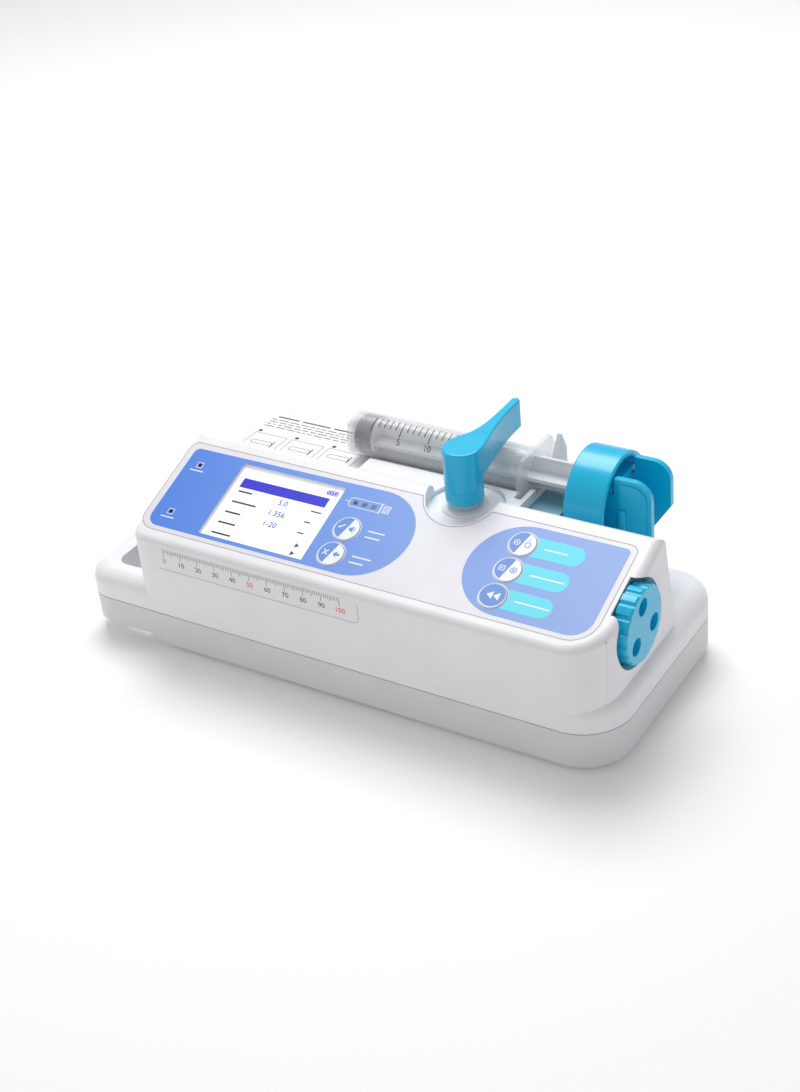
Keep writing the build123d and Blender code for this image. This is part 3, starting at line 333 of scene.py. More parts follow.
@dataclass(frozen=True)
class ClearPlastic:
    """A clear or milky plastic wall that shows what is behind it."""

    colour: Colour
    alpha: float = 0.2
    rim_alpha: float = 0.75
    roughness: float = 0.12

    def make(self, name: str) -> bpy.types.Material:
        """Returns the finish as a material called name."""
        graph = Graph(name)
        graph.join(graph.mottle(self.colour, 0.03, 8.0), graph.shader.inputs["Base Color"])
        weight = graph.node("ShaderNodeLayerWeight")
        weight.inputs["Blend"].default_value = 0.35
        rim = graph.ranged(weight.outputs["Facing"], self.alpha, self.rim_alpha, 0.1, 1.0)
        graph.join(rim, graph.shader.inputs["Alpha"])
        graph.join(graph.bump(graph.noise(6.0, 1.0), 0.05, 0.3), graph.shader.inputs["Normal"])
        shine = graph.ranged(graph.noise(5.0), self.roughness - 0.03, self.roughness + 0.06)
        graph.join(shine, graph.shader.inputs["Roughness"])
        graph.set(Specular_IOR_Level=0.6)
        return graph.material


@dataclass(frozen=True)
class CircuitBoard:
    """A green solder mask with copper tracks showing through."""

    colour: Colour

    def make(self, name: str) -> bpy.types.Material:
        """Returns the finish as a material called name."""
        graph = Graph(name)
        lighter = tuple(min(1.0, part * 1.8 + 0.01) for part in self.colour)
        bricks = graph.node("ShaderNodeTexBrick")
        bricks.inputs["Scale"].default_value = 1 / (6 * MM)
        bricks.inputs["Color1"].default_value = (*self.colour, 1.0)
        bricks.inputs["Color2"].default_value = (*self.colour, 1.0)
        bricks.inputs["Mortar"].default_value = (*lighter, 1.0)
        bricks.inputs["Mortar Size"].default_value = 0.04
        graph.join(graph.place, bricks.inputs["Vector"])
        graph.join(bricks.outputs["Color"], graph.shader.inputs["Base Color"])
        graph.join(graph.bump(bricks.outputs["Fac"], 0.05, 0.4), graph.shader.inputs["Normal"])
        graph.set(Roughness=0.3)
        return graph.material


Finish = MouldedPlastic | PrintedInk | Metal | Rubber | ClearPlastic | CircuitBoard

WHITE = MouldedPlastic(srgb(240, 240, 243), roughness=0.36, grain=0.45, depth=0.035, wear=0.04)
# Painted shade: a darker copy of the housing white, for the lower shell, the battery cover and its ribs,
# standing in for the shade under the body.
WHITE_LOWER_PAINTED_SHADE = MouldedPlastic(srgb(220, 220, 223), roughness=0.4, grain=0.45, depth=0.04, wear=0.04)
FILM = MouldedPlastic(srgb(228, 226, 234), roughness=0.34, grain=0.25, depth=0.01, mottle=0.01, edge=0.15)
CYAN = MouldedPlastic(
    srgb(0, 188, 232), roughness=0.3, grain=0.6, depth=0.012, mottle=0.02, wear=0.03, coat=0.25
)
KEY_WHITE = MouldedPlastic(srgb(238, 242, 250), roughness=0.3, grain=0.3, depth=0.01, edge=0.25)
BLACK = MouldedPlastic(srgb(28, 28, 31), roughness=0.45, grain=0.4, depth=0.04, mottle=0.1)
SMOKE = MouldedPlastic(srgb(16, 18, 26), roughness=0.12, grain=0.6, depth=0.005, coat=0.5, edge=0.1)
# Painted shade: the slide guide and plate are blue plastic, given here the greyed teal that the blue plastic
# shows in shadow.
TEAL = MouldedPlastic(srgb(112, 160, 176), roughness=0.38, grain=0.5, depth=0.03, mottle=0.04)
# Painted shade: a darker copy of TEAL, for the sheet on the floor of the jog wheel's pocket.
POCKET_PAINTED_SHADE = MouldedPlastic(srgb(52, 118, 138), roughness=0.42, grain=0.5, depth=0.03, mottle=0.05)
PAPER = MouldedPlastic(srgb(238, 238, 240), roughness=0.5, grain=0.2, depth=0.01, mottle=0.015, edge=0.1)
BATTERY = MouldedPlastic(srgb(45, 80, 150), roughness=0.25, grain=1.5, depth=0.1, mottle=0.1)
INK_BLUE = PrintedInk(srgb(72, 128, 226), srgb(140, 170, 230), -0.105, 0.135)
INK_KEY = PrintedInk(srgb(92, 140, 218))
INK_CYAN = PrintedInk(srgb(84, 222, 242))
INK_WHITE = PrintedInk(srgb(244, 247, 252))
INK_RING = PrintedInk(srgb(206, 217, 240))
INK_GREY = PrintedInk(srgb(62, 63, 68))
INK_LINE = PrintedInk(srgb(150, 146, 152))
INK_RED = PrintedInk(srgb(220, 70, 60))
SCREEN_WHITE = PrintedInk(srgb(250, 252, 255), roughness=0.3, glow=0.25)
SCREEN_BLUE = PrintedInk(srgb(4, 4, 205), roughness=0.45, glow=0.15)
SCREEN_DARK = PrintedInk(srgb(40, 40, 70), roughness=0.3)
STEEL = Metal((0.58, 0.59, 0.61), 0.28)
STEEL_UPRIGHT = Metal((0.62, 0.63, 0.66), 0.26, (1.0, 1.0, 0.05))
ALLOY = Metal((0.66, 0.67, 0.69), 0.4, (0.2, 1.0, 0.2))
BRASS = Metal((0.62, 0.45, 0.18), 0.3)
BRONZE = Metal((0.45, 0.27, 0.11), 0.42, (1.0, 1.0, 1.0))
FOOT = Rubber((0.02, 0.02, 0.022))
STOPPER = Rubber((0.045, 0.06, 0.08), 0.5)
BARREL = ClearPlastic(srgb(236, 238, 240), 0.2, 0.6)
PLUNGER = ClearPlastic(srgb(240, 241, 243), 0.8, 0.95, 0.25)
LENS = ClearPlastic(srgb(60, 66, 84), 0.02, 0.08, 0.06)
SLEEVE = MouldedPlastic(srgb(196, 202, 208), roughness=0.3, grain=0.6, depth=0.02, coat=0.3)
BOARD = CircuitBoard((0.01, 0.10, 0.045))

_made: dict[Finish, bpy.types.Material] = {}


def material(finish: Finish, name: str) -> bpy.types.Material:
    """Returns the material of a finish, made once."""
    if finish not in _made:
        _made[finish] = finish.make(name)
    return _made[finish]


# ------------------------------------------------------------------ shared helpers
def dress(finish: Finish, name: str, *nodes: str) -> None:
    """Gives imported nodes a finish.

    Args:
        finish: The finish to give.
        name: The material's name.
        *nodes: The nodes that get it.
    """
    for node in nodes:
        mesh = FRAME["nodes"][node].data
        mesh.materials.clear()
        mesh.materials.append(material(finish, name))
        LOG.info("dressed %s in %s", node, name)


def fix(piece: bpy.types.Object, body: Body) -> bpy.types.Object:
    """Makes a piece ride on a body and returns it."""
    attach(piece, body.value)
    LOG.info("made %s on %s", piece.name, body.value)
    return piece


def to_object(shape: bmesh.types.BMesh, name: str, finish: Finish, smooth: float = 30.0) -> bpy.types.Object:
    """Turns a bmesh in metres into a linked object.

    Args:
        shape: The shape, which is freed.
        name: The object's name.
        finish: Its finish.
        smooth: Edges sharper than this angle in degrees stay sharp.

    Returns:
        The new object, at the origin.
    """
    bmesh.ops.recalc_face_normals(shape, faces=shape.faces)
    mesh = bpy.data.meshes.new(name)
    for face in shape.faces:
        face.smooth = True
    for edge in shape.edges:
        if len(edge.link_faces) == 2:
            edge.smooth = edge.calc_face_angle() < math.radians(smooth)
    shape.to_mesh(mesh)
    shape.free()
    mesh.materials.append(material(finish, f"{name}_finish"))
    piece = bpy.data.objects.new(name, mesh)
    bpy.context.scene.collection.objects.link(piece)
    return piece


def circle(x: float, y: float, radius: float, steps: int = 48) -> Outline:
    """Returns the points of a circle."""
    return arc(x, y, radius, 0, 360 - 360 / steps, steps - 1)


def arc(x: float, y: float, radius: float, start: float, end: float, steps: int = 12) -> Outline:
    """Returns points along an arc between two angles in degrees."""
    turns = (math.radians(start + (end - start) * step / steps) for step in range(steps + 1))
    return [(x + radius * math.cos(turn), y + radius * math.sin(turn)) for turn in turns]


def rounded(x0: float, x1: float, y0: float, y1: float, radii: Sequence[float]) -> Outline:
    """Returns a rectangle with rounded corners.

    Args:
        x0: Left side.
        x1: Right side.
        y0: Bottom.
        y1: Top.
        radii: Radii of the bottom left, bottom right, top right and top left corners.

    Returns:
        Its points, anticlockwise.
    """
    low_left, low_right, top_right, top_left = radii
    return (
        arc(x0 + low_left, y0 + low_left, low_left, 180, 270)
        + arc(x1 - low_right, y0 + low_right, low_right, 270, 360)
        + arc(x1 - top_right, y1 - top_right, top_right, 0, 90)
        + arc(x0 + top_left, y1 - top_left, top_left, 90, 180)
    )


def bar(x: float, y: float, length: float, height: float) -> Outline:
    """Returns a round-ended bar that starts at x."""
    return rounded(x, x + length, y - height / 2, y + height / 2, (height / 2,) * 4)


def rectangle(x0: float, x1: float, y0: float, y1: float) -> Outline:
    """Returns a plain rectangle."""
    return [(x0, y0), (x1, y0), (x1, y1), (x0, y1)]


class Sheet:
    """Flat shapes in millimetres, collected and laid on a plane or round a barrel."""

    def __init__(self, thickness: float = INK) -> None:
        """Starts an empty sheet of a thickness in millimetres."""
        self.shape = bmesh.new()
        self.thickness = thickness

    def _take(self, data: bpy.types.Curve, move: Matrix | None = None) -> None:
        """Adds a filled curve's mesh to the sheet."""
        data.extrude = self.thickness / 2
        holder = bpy.data.objects.new("outline", data)
        mesh = bpy.data.meshes.new_from_object(holder)
        if move is not None:
            mesh.transform(move)
        self.shape.from_mesh(mesh)
        bpy.data.objects.remove(holder)
        bpy.data.meshes.remove(mesh)

    def add(self, *outlines: Outline) -> None:
        """Adds one shape: an outline, and others inside it as holes."""
        data = bpy.data.curves.new("outline", "CURVE")
        data.dimensions = "2D"
        data.fill_mode = "BOTH"
        for outline in outlines:
            spline = data.splines.new("POLY")
            spline.points.add(len(outline) - 1)
            for point, (x, y) in zip(spline.points, outline):
                point.co = (x, y, 0, 1)
            spline.use_cyclic_u = True
        self._take(data)

    def write(self, figures: str, x: float, y: float, size: float, lean: float = 0.0) -> None:
        """Adds figures centred at a point, size millimetres high."""
        data = bpy.data.curves.new("figures", "FONT")
        data.body = figures
        data.size = size * 1.4
        data.align_x = "CENTER"
        data.align_y = "CENTER"
        data.shear = lean
        data.resolution_u = 3
        self._take(data, Matrix.Translation((x, y, 0)))

    def lay(self, name: str, plane: Matrix, finish: Finish, body: Body, slot: Slot) -> bpy.types.Object:
        """Places the sheet and makes it a piece.

        Args:
            name: The piece's name.
            plane: Where the sheet's own axes go, in metres.
            finish: Its finish.
            body: The body it rides on.
            slot: Not used.

        Returns:
            The piece.
        """
        bmesh.ops.remove_doubles(self.shape, verts=self.shape.verts, dist=0.0005)
        bmesh.ops.transform(self.shape, matrix=plane @ Matrix.Scale(MM, 4), verts=self.shape.verts)
        return fix(to_object(self.shape, name, finish), body)

    def wrap(self, radius: float) -> None:
        """Bends the sheet's y direction round a barrel of a radius in millimetres, about x."""
        for vert in self.shape.verts:
            turn = vert.co.y / radius
            reach = radius + vert.co.z
            vert.co.y = reach * math.sin(turn)
            vert.co.z = reach * math.cos(turn)


def solid_box(low: Vector, high: Vector, name: str, finish: Finish, edge_mm: float, segments: int = 3):
    """Returns a box with rounded edges between two corners in metres.

    Args:
        low: Lowest corner.
        high: Highest corner.
        name: The object's name.
        finish: Its finish.
        edge_mm: Radius of its edges.
        segments: Steps in each rounded edge.

    Returns:
        The new object.
    """
    shape = bmesh.new()
    bmesh.ops.create_cube(shape, size=1.0)
    bmesh.ops.scale(shape, vec=high - low, verts=shape.verts)
    bmesh.ops.translate(shape, vec=(high + low) / 2, verts=shape.verts)
    bmesh.ops.bevel(
        shape,
        geom=shape.edges[:],
        offset=edge_mm * MM,
        affect="EDGES",
        segments=segments,
        profile=0.5,
        material=-1,
    )
    return to_object(shape, name, finish)


def turned(profile: Outline, centre: Vector, axis: str, name: str, finish: Finish, steps: int = 48):
    """Returns a turned piece from a profile of (radius, height) points in millimetres.

    Args:
        profile: The outline from the axis at one end to the axis at the other.
        centre: The axis point at height 0, in metres.
        axis: "X" or "Z".
        name: The object's name.
        finish: Its finish.
        steps: Steps in the full turn.

    Returns:
        The new object.
    """
    shape = bmesh.new()
    verts = [shape.verts.new((radius * MM, 0, height * MM)) for radius, height in profile]
    edges = [shape.edges.new(pair) for pair in zip(verts, verts[1:])]
    bmesh.ops.spin(
        shape,
        geom=verts + edges,
        axis=(0, 0, 1),
        cent=(0, 0, 0),
        steps=steps,
        angle=math.tau,
        use_merge=True,
    )
    bmesh.ops.remove_doubles(shape, verts=shape.verts, dist=1e-6)
    if axis == "X":
        bmesh.ops.rotate(shape, matrix=Matrix.Rotation(math.pi / 2, 3, "Y"), verts=shape.verts)
    bmesh.ops.translate(shape, vec=centre, verts=shape.verts)
    return to_object(shape, name, finish)


def middle(node: str) -> Vector:
    """Returns the centre of a node's box, in metres."""
    low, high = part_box(node)
    return (low + high) / 2


# ------------------------------------------------------------------ planes to print on
@dataclass
class Faces:
    """The flat faces of the casing that prints lie on. Lengths are in millimetres.

    Positions along the body are counted from the left end of the casing.
    """

    film: float = 0.4
    lift: float = 0.02
    left: float = field(init=False)
    front: float = field(init=False)
    slope: float = field(init=False)
    lip: float = field(init=False)
    deck: float = field(init=False)

    def __post_init__(self) -> None:
        """Reads the faces' places from the frame."""
        low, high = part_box("lower_housing")
        film_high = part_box("front_overlay")[1]
        press = next(joint for joint in FRAME["joints"] if joint["name"] == "enter_key_press")
        self.slope = math.atan2(press["axis"][1], -press["axis"][2])
        self.left = low.x / MM
        self.front = low.y / MM
        depth = film_high.y / MM - self.front - self.film * math.sin(self.slope)
        self.lip = film_high.z / MM - depth * math.tan(self.slope)
        self.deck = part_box("instruction_label")[1].z / MM

    def panel(self, rise: float = 0.0) -> Matrix:
        """Returns the sloped panel's plane, rise millimetres above the film."""
        across = Vector((1, 0, 0))
        up = Vector((0, math.cos(self.slope), math.sin(self.slope)))
        out = across.cross(up)
        corner = Vector((self.left, self.front, self.lip)) + out * rise
        return self._plane(corner, across, up, out)

    def wall(self, rise: float = 0.0) -> Matrix:
        """Returns the upright front face's plane, with its height counted from the floor."""
        corner = Vector((self.left, self.front - rise, 0))
        return self._plane(corner, Vector((1, 0, 0)), Vector((0, 0, 1)), Vector((0, -1, 0)))

    def top(self, rise: float = 0.0) -> Matrix:
        """Returns the deck's plane, with its depth counted from the front face."""
        corner = Vector((self.left, self.front, self.deck + rise))
        return self._plane(corner, Vector((1, 0, 0)), Vector((0, 1, 0)), Vector((0, 0, 1)))

    def on_panel(self, node: str) -> Point:
        """Returns a node's middle as a distance from the left end and up the slope."""
        spot = middle(node) / MM - Vector((self.left, self.front, self.lip))
        return spot.x, spot.y * math.cos(self.slope) + spot.z * math.sin(self.slope)

    @staticmethod
    def _plane(corner: Vector, across: Vector, up: Vector, out: Vector) -> Matrix:
        """Returns a matrix from a corner in millimetres and three directions."""
        turn = Matrix((across, up, out)).transposed().to_4x4()
        return Matrix.Translation(corner * MM) @ turn


# ------------------------------------------------------------------ casing
@dataclass
class Casing:
    """The housings and what is fixed to their underside and end. Lengths are in millimetres."""

    faces: Faces
    foot_radius: float = 6.0
    foot_height: float = 1.2
    head_radius: float = 2.8
    head_depth: float = 1.9
    cross_reach: float = 1.7
    cross_width: float = 0.55

    def build(self) -> None:
        """Dresses the housings and makes the feet, screw heads, grip ribs and socket metalwork."""
        dress(WHITE, "upper_shell", "upper_housing")
        # The lower shell and battery cover take the darker white, which paints the shade of the lower body.
        dress(WHITE_LOWER_PAINTED_SHADE, "lower_shell_painted_shade", "lower_housing", "battery_cover")
        dress(BRASS, "insert_brass", "mount_inserts", "board_standoffs")
        dress(BLACK, "socket_black", "mains_inlet", "data_port", "buzzer")
        dress(BATTERY, "battery_wrap", "battery_pack")
        dress(BOARD, "board_green", "main_board", "power_board", "size_sensor")
        self.feet()
        self.screw_heads()
        self.cover_ribs()
        self.sockets()

    def feet(self) -> None:
        """Makes the four dished rubber feet in place of their plain discs."""
        low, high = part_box("rubber_feet")
        radius, height = self.foot_radius, self.foot_height
        profile = [
            (0, 0.5),
            (radius * 0.4, 0.5),
            (radius * 0.5, 0.05),
            (radius * 0.58, 0),
            (radius * 0.86, 0),
            (radius * 0.96, 0.15),
            (radius, 0.45),
            (radius, height),
            (0, height),
        ]
        feet = []
        for side_x, side_y in ((0, 0), (1, 0), (0, 1), (1, 1)):
            x = (high.x if side_x else low.x) + (radius * MM) * (1 - 2 * side_x)
            y = (high.y if side_y else low.y) + (radius * MM) * (1 - 2 * side_y)
            foot = turned(profile, Vector((x, y, 0)), "Z", f"foot_{side_x}{side_y}", FOOT)
            feet.append(fix(foot, Body.CASING))
        for foot in feet:
            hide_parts("rubber_feet")

    def screw_heads(self) -> None:
        """Makes six pan heads with a cross recess, each in its counterbore."""
        mesh = FRAME["nodes"]["housing_screws"].data
        spots: list[Vector] = []
        for vert in sorted(mesh.vertices, key=lambda vert: vert.co.z):
            near = [spot for spot in spots if (spot - vert.co).xy.length < 3 * self.head_radius * MM]
            if not near:
                spots.append(vert.co.copy())
        for number, spot in enumerate(spots):
            around = [
                vert.co for vert in mesh.vertices if (spot - vert.co).xy.length < 3 * self.head_radius * MM
            ]
            foot = min(point.z for point in around)
            rim = [point for point in around if point.z < foot + 0.1 * MM]
            x = (min(point.x for point in rim) + max(point.x for point in rim)) / 2
            y = (min(point.y for point in rim) + max(point.y for point in rim)) / 2
            self._head(number, Vector((x, y, foot)))

    def _head(self, number: int, place: Vector) -> None:
        """Makes one screw head with its lowest point at place."""
        wide, reach = self.cross_width, self.cross_reach
        cross = [
            (-wide, -reach), (wide, -reach), (wide, -wide), (reach, -wide), (reach, wide), (wide, wide),
            (wide, reach), (-wide, reach), (-wide, wide), (-reach, wide), (-reach, -wide), (-wide, -wide),
        ]
        face = Sheet(self.head_depth * 0.6)
        face.add(circle(0, 0, self.head_radius - 0.25), cross)
        face.lay(
            f"screw_face_{number}",
            Matrix.Translation(place + Vector((0, 0, self.head_depth * 0.3 * MM))),
            STEEL,
            Body.CASING,
            Slot.STEEL,
        )
        rim = [
            (0, self.head_depth * 0.6),
            (self.head_radius - 0.26, self.head_depth * 0.6),
            (self.head_radius - 0.26, 0.05),
            (self.head_radius, 0.35),
            (self.head_radius, self.head_depth),
            (1.4, self.head_depth),
            (1.4, self.head_depth * 2.5),
            (0, self.head_depth * 2.5),
        ]
        head = turned(rim, place, "Z", f"screw_head_{number}", STEEL, 32)
        fix(head, Body.CASING)
        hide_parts("housing_screws")

    def cover_ribs(self) -> None:
        """Makes three thumb ribs on the battery cover."""
        low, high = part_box("battery_cover")
        centre = (low + high) / 2
        for number in range(3):
            x = high.x - (16 + 3.2 * number) * MM
            rib = solid_box(
                Vector((x - 0.6 * MM, centre.y - 8 * MM, low.z - 0.5 * MM)),
                Vector((x + 0.6 * MM, centre.y + 8 * MM, low.z + 0.4 * MM)),
                f"battery_cover_rib_{number}",
                WHITE_LOWER_PAINTED_SHADE,
                0.35,
            )
            fix(rib, Body.CASING)

    def sockets(self) -> None:
        """Makes the blades of the mains inlet, and the metal shell and contacts of the data port."""
        low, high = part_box("mains_inlet")
        centre = (low + high) / 2
        for number, (y, z) in enumerate(((-7.0, -2.0), (7.0, -2.0), (0.0, 2.0))):
            blade = solid_box(
                Vector((low.x + 5.5 * MM, centre.y + (y - 1.06) * MM, centre.z + (z - 2.06) * MM)),
                Vector((low.x + 13.9 * MM, centre.y + (y + 1.06) * MM, centre.z + (z + 2.06) * MM)),
                f"inlet_blade_{number}",
                BRASS,
                0.35,
            )
            fix(blade, Body.CASING)
        low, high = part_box("data_port")
        centre = (low + high) / 2
        end = Matrix.Translation((low.x, centre.y, centre.z)) @ Matrix.Rotation(-math.pi / 2, 4, "Z")
        end = end @ Matrix.Rotation(math.pi / 2, 4, "X")
        shell = Sheet(0.5)
        shell.add(
            rounded(-12.4, 12.4, -5.4, 5.4, (2.0, 2.0, 2.0, 2.0)),
            rounded(-9.4, 9.4, -3.9, 3.9, (1.6, 1.6, 1.6, 1.6)),
        )
        shell.lay("port_shell", end, STEEL, Body.CASING, Slot.STEEL)
        tongue = solid_box(
            Vector((low.x + 1.5 * MM, centre.y - 7 * MM, centre.z - 1.0 * MM)),
            Vector((low.x + 8.8 * MM, centre.y + 7 * MM, centre.z + 1.0 * MM)),
            "port_tongue",
            KEY_WHITE,
            0.3,
        )
        fix(tongue, Body.CASING)
        for number in range(9):
            y = centre.y + (number - 4) * 1.5 * MM
            contact = solid_box(
                Vector((low.x + 1.8 * MM, y - 0.35 * MM, centre.z - 1.12 * MM)),
                Vector((low.x + 8.4 * MM, y + 0.35 * MM, centre.z + 1.12 * MM)),
                f"port_contact_{number}",
                BRASS,
                0.1,
                1,
            )
            fix(contact, Body.CASING)


# ------------------------------------------------------------------ front panel
@dataclass
class FrontPanel:
    """The printed film, its openings, the key tops and the lamps. Lengths are in millimetres."""

    faces: Faces
    film_left: float = 37.0
    film_right: float = 278.0
    film_bottom: float = 5.8
    film_top: float = 61.0
    film_radii: tuple[float, float, float, float] = (9.0, 13.0, 4.5, 4.5)
    notch_radius: float = 19.2
    line: float = 0.32
    zone_bottom: float = 8.4
    zone_top: float = 58.4
    key_radius: float = 6.4
    ring: float = 0.45
    pill_end: float = 257.0
    pill_height: float = 10.8
    hole_play: float = 0.25
    left_zone_end: float = 176.0
    right_zone_start: float = 206.0
    lamp_half: float = 1.1
    key_border: float = 0.45
    key_rise: float = 0.7
    key_ground_lift: float = 0.02
    key_mark_lift: float = 0.05

    def build(self) -> None:
        """Dresses the film and keys and makes every print on them."""
        dress(FILM, "film", "front_overlay")
        dress(KEY_WHITE, "key_moulding", "enter_key", "cancel_key", "power_key", "start_key", "bolus_key")
        dress(BLACK, "switch_black", "key_switches")
        dress(SMOKE, "lamp_smoke", "battery_light", "mains_light", "syringe_lights")
        self.key_spots = {
            KeyMark.ENTER: self.faces.on_panel("enter_key"),
            KeyMark.CANCEL: self.faces.on_panel("cancel_key"),
            KeyMark.POWER: self.faces.on_panel("power_key"),
            KeyMark.START: self.faces.on_panel("start_key"),
            KeyMark.FAST: self.faces.on_panel("bolus_key"),
        }
        self.border()
        self.zones()
        self.pills()
        self.rings()
        self.key_tops()
        self.syringe_picture()
        self.captions()

    def _outline(self, inset: float) -> Outline:
        """Returns the film's edge, moved inwards by inset, with the notch round the clamp post."""
        x0, x1 = self.film_left + inset, self.film_right - inset
        y0, y1 = self.film_bottom + inset, self.film_top - inset
        centre = middle("clamp_bush") / MM
        depth = centre.y - self.faces.front
        x, y = centre.x - self.faces.left, depth / math.cos(self.faces.slope)
        wide = self.notch_radius + inset
        tall = wide / math.cos(self.faces.slope)
        start = math.degrees(math.asin((y1 - y) / tall))
        notch = [
            (x + wide * math.cos(math.radians(turn)), y + tall * math.sin(math.radians(turn)))
            for turn in (start + (-180 - 2 * start) * step / 32 for step in range(33))
        ]
        low_left, low_right, top_right, top_left = (radius - inset for radius in self.film_radii)
        return (
            arc(x0 + low_left, y0 + low_left, low_left, 180, 270)
            + arc(x1 - low_right, y0 + low_right, low_right, 270, 360)
            + arc(x1 - top_right, y1 - top_right, top_right, 0, 90)
            + notch
            + arc(x0 + top_left, y1 - top_left, top_left, 90, 180)
        )

    def border(self) -> None:
        """Makes the thin grey line round the film's edge."""
        line = Sheet()
        line.add(self._outline(0.0), self._outline(self.line))
        self._print(line, "film_edge_line", INK_LINE)

    def _print(self, sheet: Sheet, name: str, ink: PrintedInk, layer: float = 1.0) -> None:
        """Lays a printed sheet on the film, layer times the first print's height above it."""
        sheet.lay(name, self.faces.panel(layer * self.faces.lift), ink, Body.CASING, Slot.OVERLAY)

    def _holes(self, *keys: KeyMark) -> list[Outline]:
        """Returns the round openings of some keys."""
        radius = self.key_radius + self.hole_play
        return [circle(*self.key_spots[key], radius) for key in keys]

    def _lamp(self, spot: Point, half: float) -> Outline:
        """Returns a square round a lamp."""
        return rectangle(spot[0] - half, spot[0] + half, spot[1] - half, spot[1] + half)

    def zones(self) -> None:
        """Makes the two blue zones, each with one big round end."""
        half = (self.zone_top - self.zone_bottom) / 2
        mid = (self.zone_top + self.zone_bottom) / 2
        window_low, window_high = self._window()
        battery, mains = self.faces.on_panel("battery_light"), self.faces.on_panel("mains_light")
        lights = self.faces.on_panel("syringe_lights")
        left = Sheet()
        outline = (
            arc(self.left_zone_end - half, mid, half, -90, 90, 32)
            + arc(self.film_left + 7.0, self.zone_top - 4.0, 3.0, 90, 180)
            + arc(self.film_left + 10.5, self.zone_bottom + 6.5, 6.5, 180, 270)
        )
        lamps = [self._lamp(spot, self.lamp_half) for spot in (battery, mains)]
        lamps += [
            self._lamp((lights[0] + step * 5.0, lights[1]), self.lamp_half) for step in (-1, 0, 1)
        ]
        window = rectangle(window_low[0], window_high[0], window_low[1], window_high[1])
        left.add(outline, window, *lamps, *self._holes(KeyMark.ENTER, KeyMark.CANCEL))
        self._print(left, "print_zone_left", INK_BLUE)
        right = Sheet()
        outline = (
            arc(self.right_zone_start + half, mid, half, 90, 270, 32)
            + arc(self.film_right - 13.0, self.zone_bottom + 10.0, 10.0, -90, 0)
            + arc(self.film_right - 5.5, self.zone_top - 2.5, 2.5, 0, 90)
        )
        right.add(outline, *self._holes(KeyMark.POWER, KeyMark.START, KeyMark.FAST))
        self._print(right, "print_zone_right", INK_BLUE)

    def _window(self) -> tuple[Point, Point]:
        """Returns the display opening's corners."""
        low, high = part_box("display_window")
        x, y = self.faces.on_panel("display_window")
        wide = (high.x - low.x) / MM + 0.5
        tall = 43.2 + 1.0
        return (x - wide / 2, y - tall / 2), (x + wide / 2, y + tall / 2)

    def pills(self) -> None:
        """Makes the three cyan bars beside the right-hand keys."""
        pills = Sheet()
        for number, key in enumerate((KeyMark.POWER, KeyMark.START, KeyMark.FAST)):
            x, y = self.key_spots[key]
            half = self.pill_height / 2
            reach = self.key_radius + self.ring + 0.4
            lean = math.degrees(math.asin(half / reach))
            end = self.pill_end - 1.0 * number
            pills.add(arc(x, y, reach, lean, -lean) + arc(end - half, y, half, -90, 90, 20))
        self._print(pills, "print_pills", INK_CYAN, 2.5)

    def rings(self) -> None:
        """Makes the white rings round the keys and the white squares round two lamps."""
        rings, squares = Sheet(), Sheet()
        for x, y in self.key_spots.values():
            inner = self.key_radius + self.hole_play
            rings.add(circle(x, y, inner + self.ring), circle(x, y, inner))
        for node in ("battery_light", "mains_light"):
            spot = self.faces.on_panel(node)
            squares.add(self._lamp(spot, 1.65), self._lamp(spot, 1.3))
        self._print(rings, "print_key_rings", INK_RING, 3)
        self._print(squares, "print_lamp_squares", INK_WHITE, 3)

    def key_tops(self) -> None:
        """Makes the half-blue faces and the pictures on the five keys."""
        bodies = {
            KeyMark.ENTER: Body.ENTER,
            KeyMark.CANCEL: Body.CANCEL,
            KeyMark.POWER: Body.POWER,
            KeyMark.START: Body.START,
            KeyMark.FAST: Body.BOLUS,
        }
        radius = self.key_radius - self.key_border
        ground_plane = self.faces.panel(self.key_rise + self.key_ground_lift)
        mark_plane = self.faces.panel(self.key_rise + self.key_mark_lift)
        for key, (x, y) in self.key_spots.items():
            ground = Sheet()
            if key is KeyMark.FAST:
                ground.add(circle(x, y, radius))
            else:
                ground.add(arc(x, y, radius, 75, 255, 24))
            name = key.value
            ground.lay(f"key_ground_{name}", ground_plane, INK_KEY, bodies[key], Slot.KEY)
            white, blue = Sheet(), Sheet()
            self._picture(key, x, y, white, blue)
            if white.shape.verts:
                white.lay(f"key_mark_{name}", mark_plane, INK_WHITE, bodies[key], Slot.KEY)
            if blue.shape.verts:
                blue.lay(f"key_mark_blue_{name}", mark_plane, INK_KEY, bodies[key], Slot.KEY)

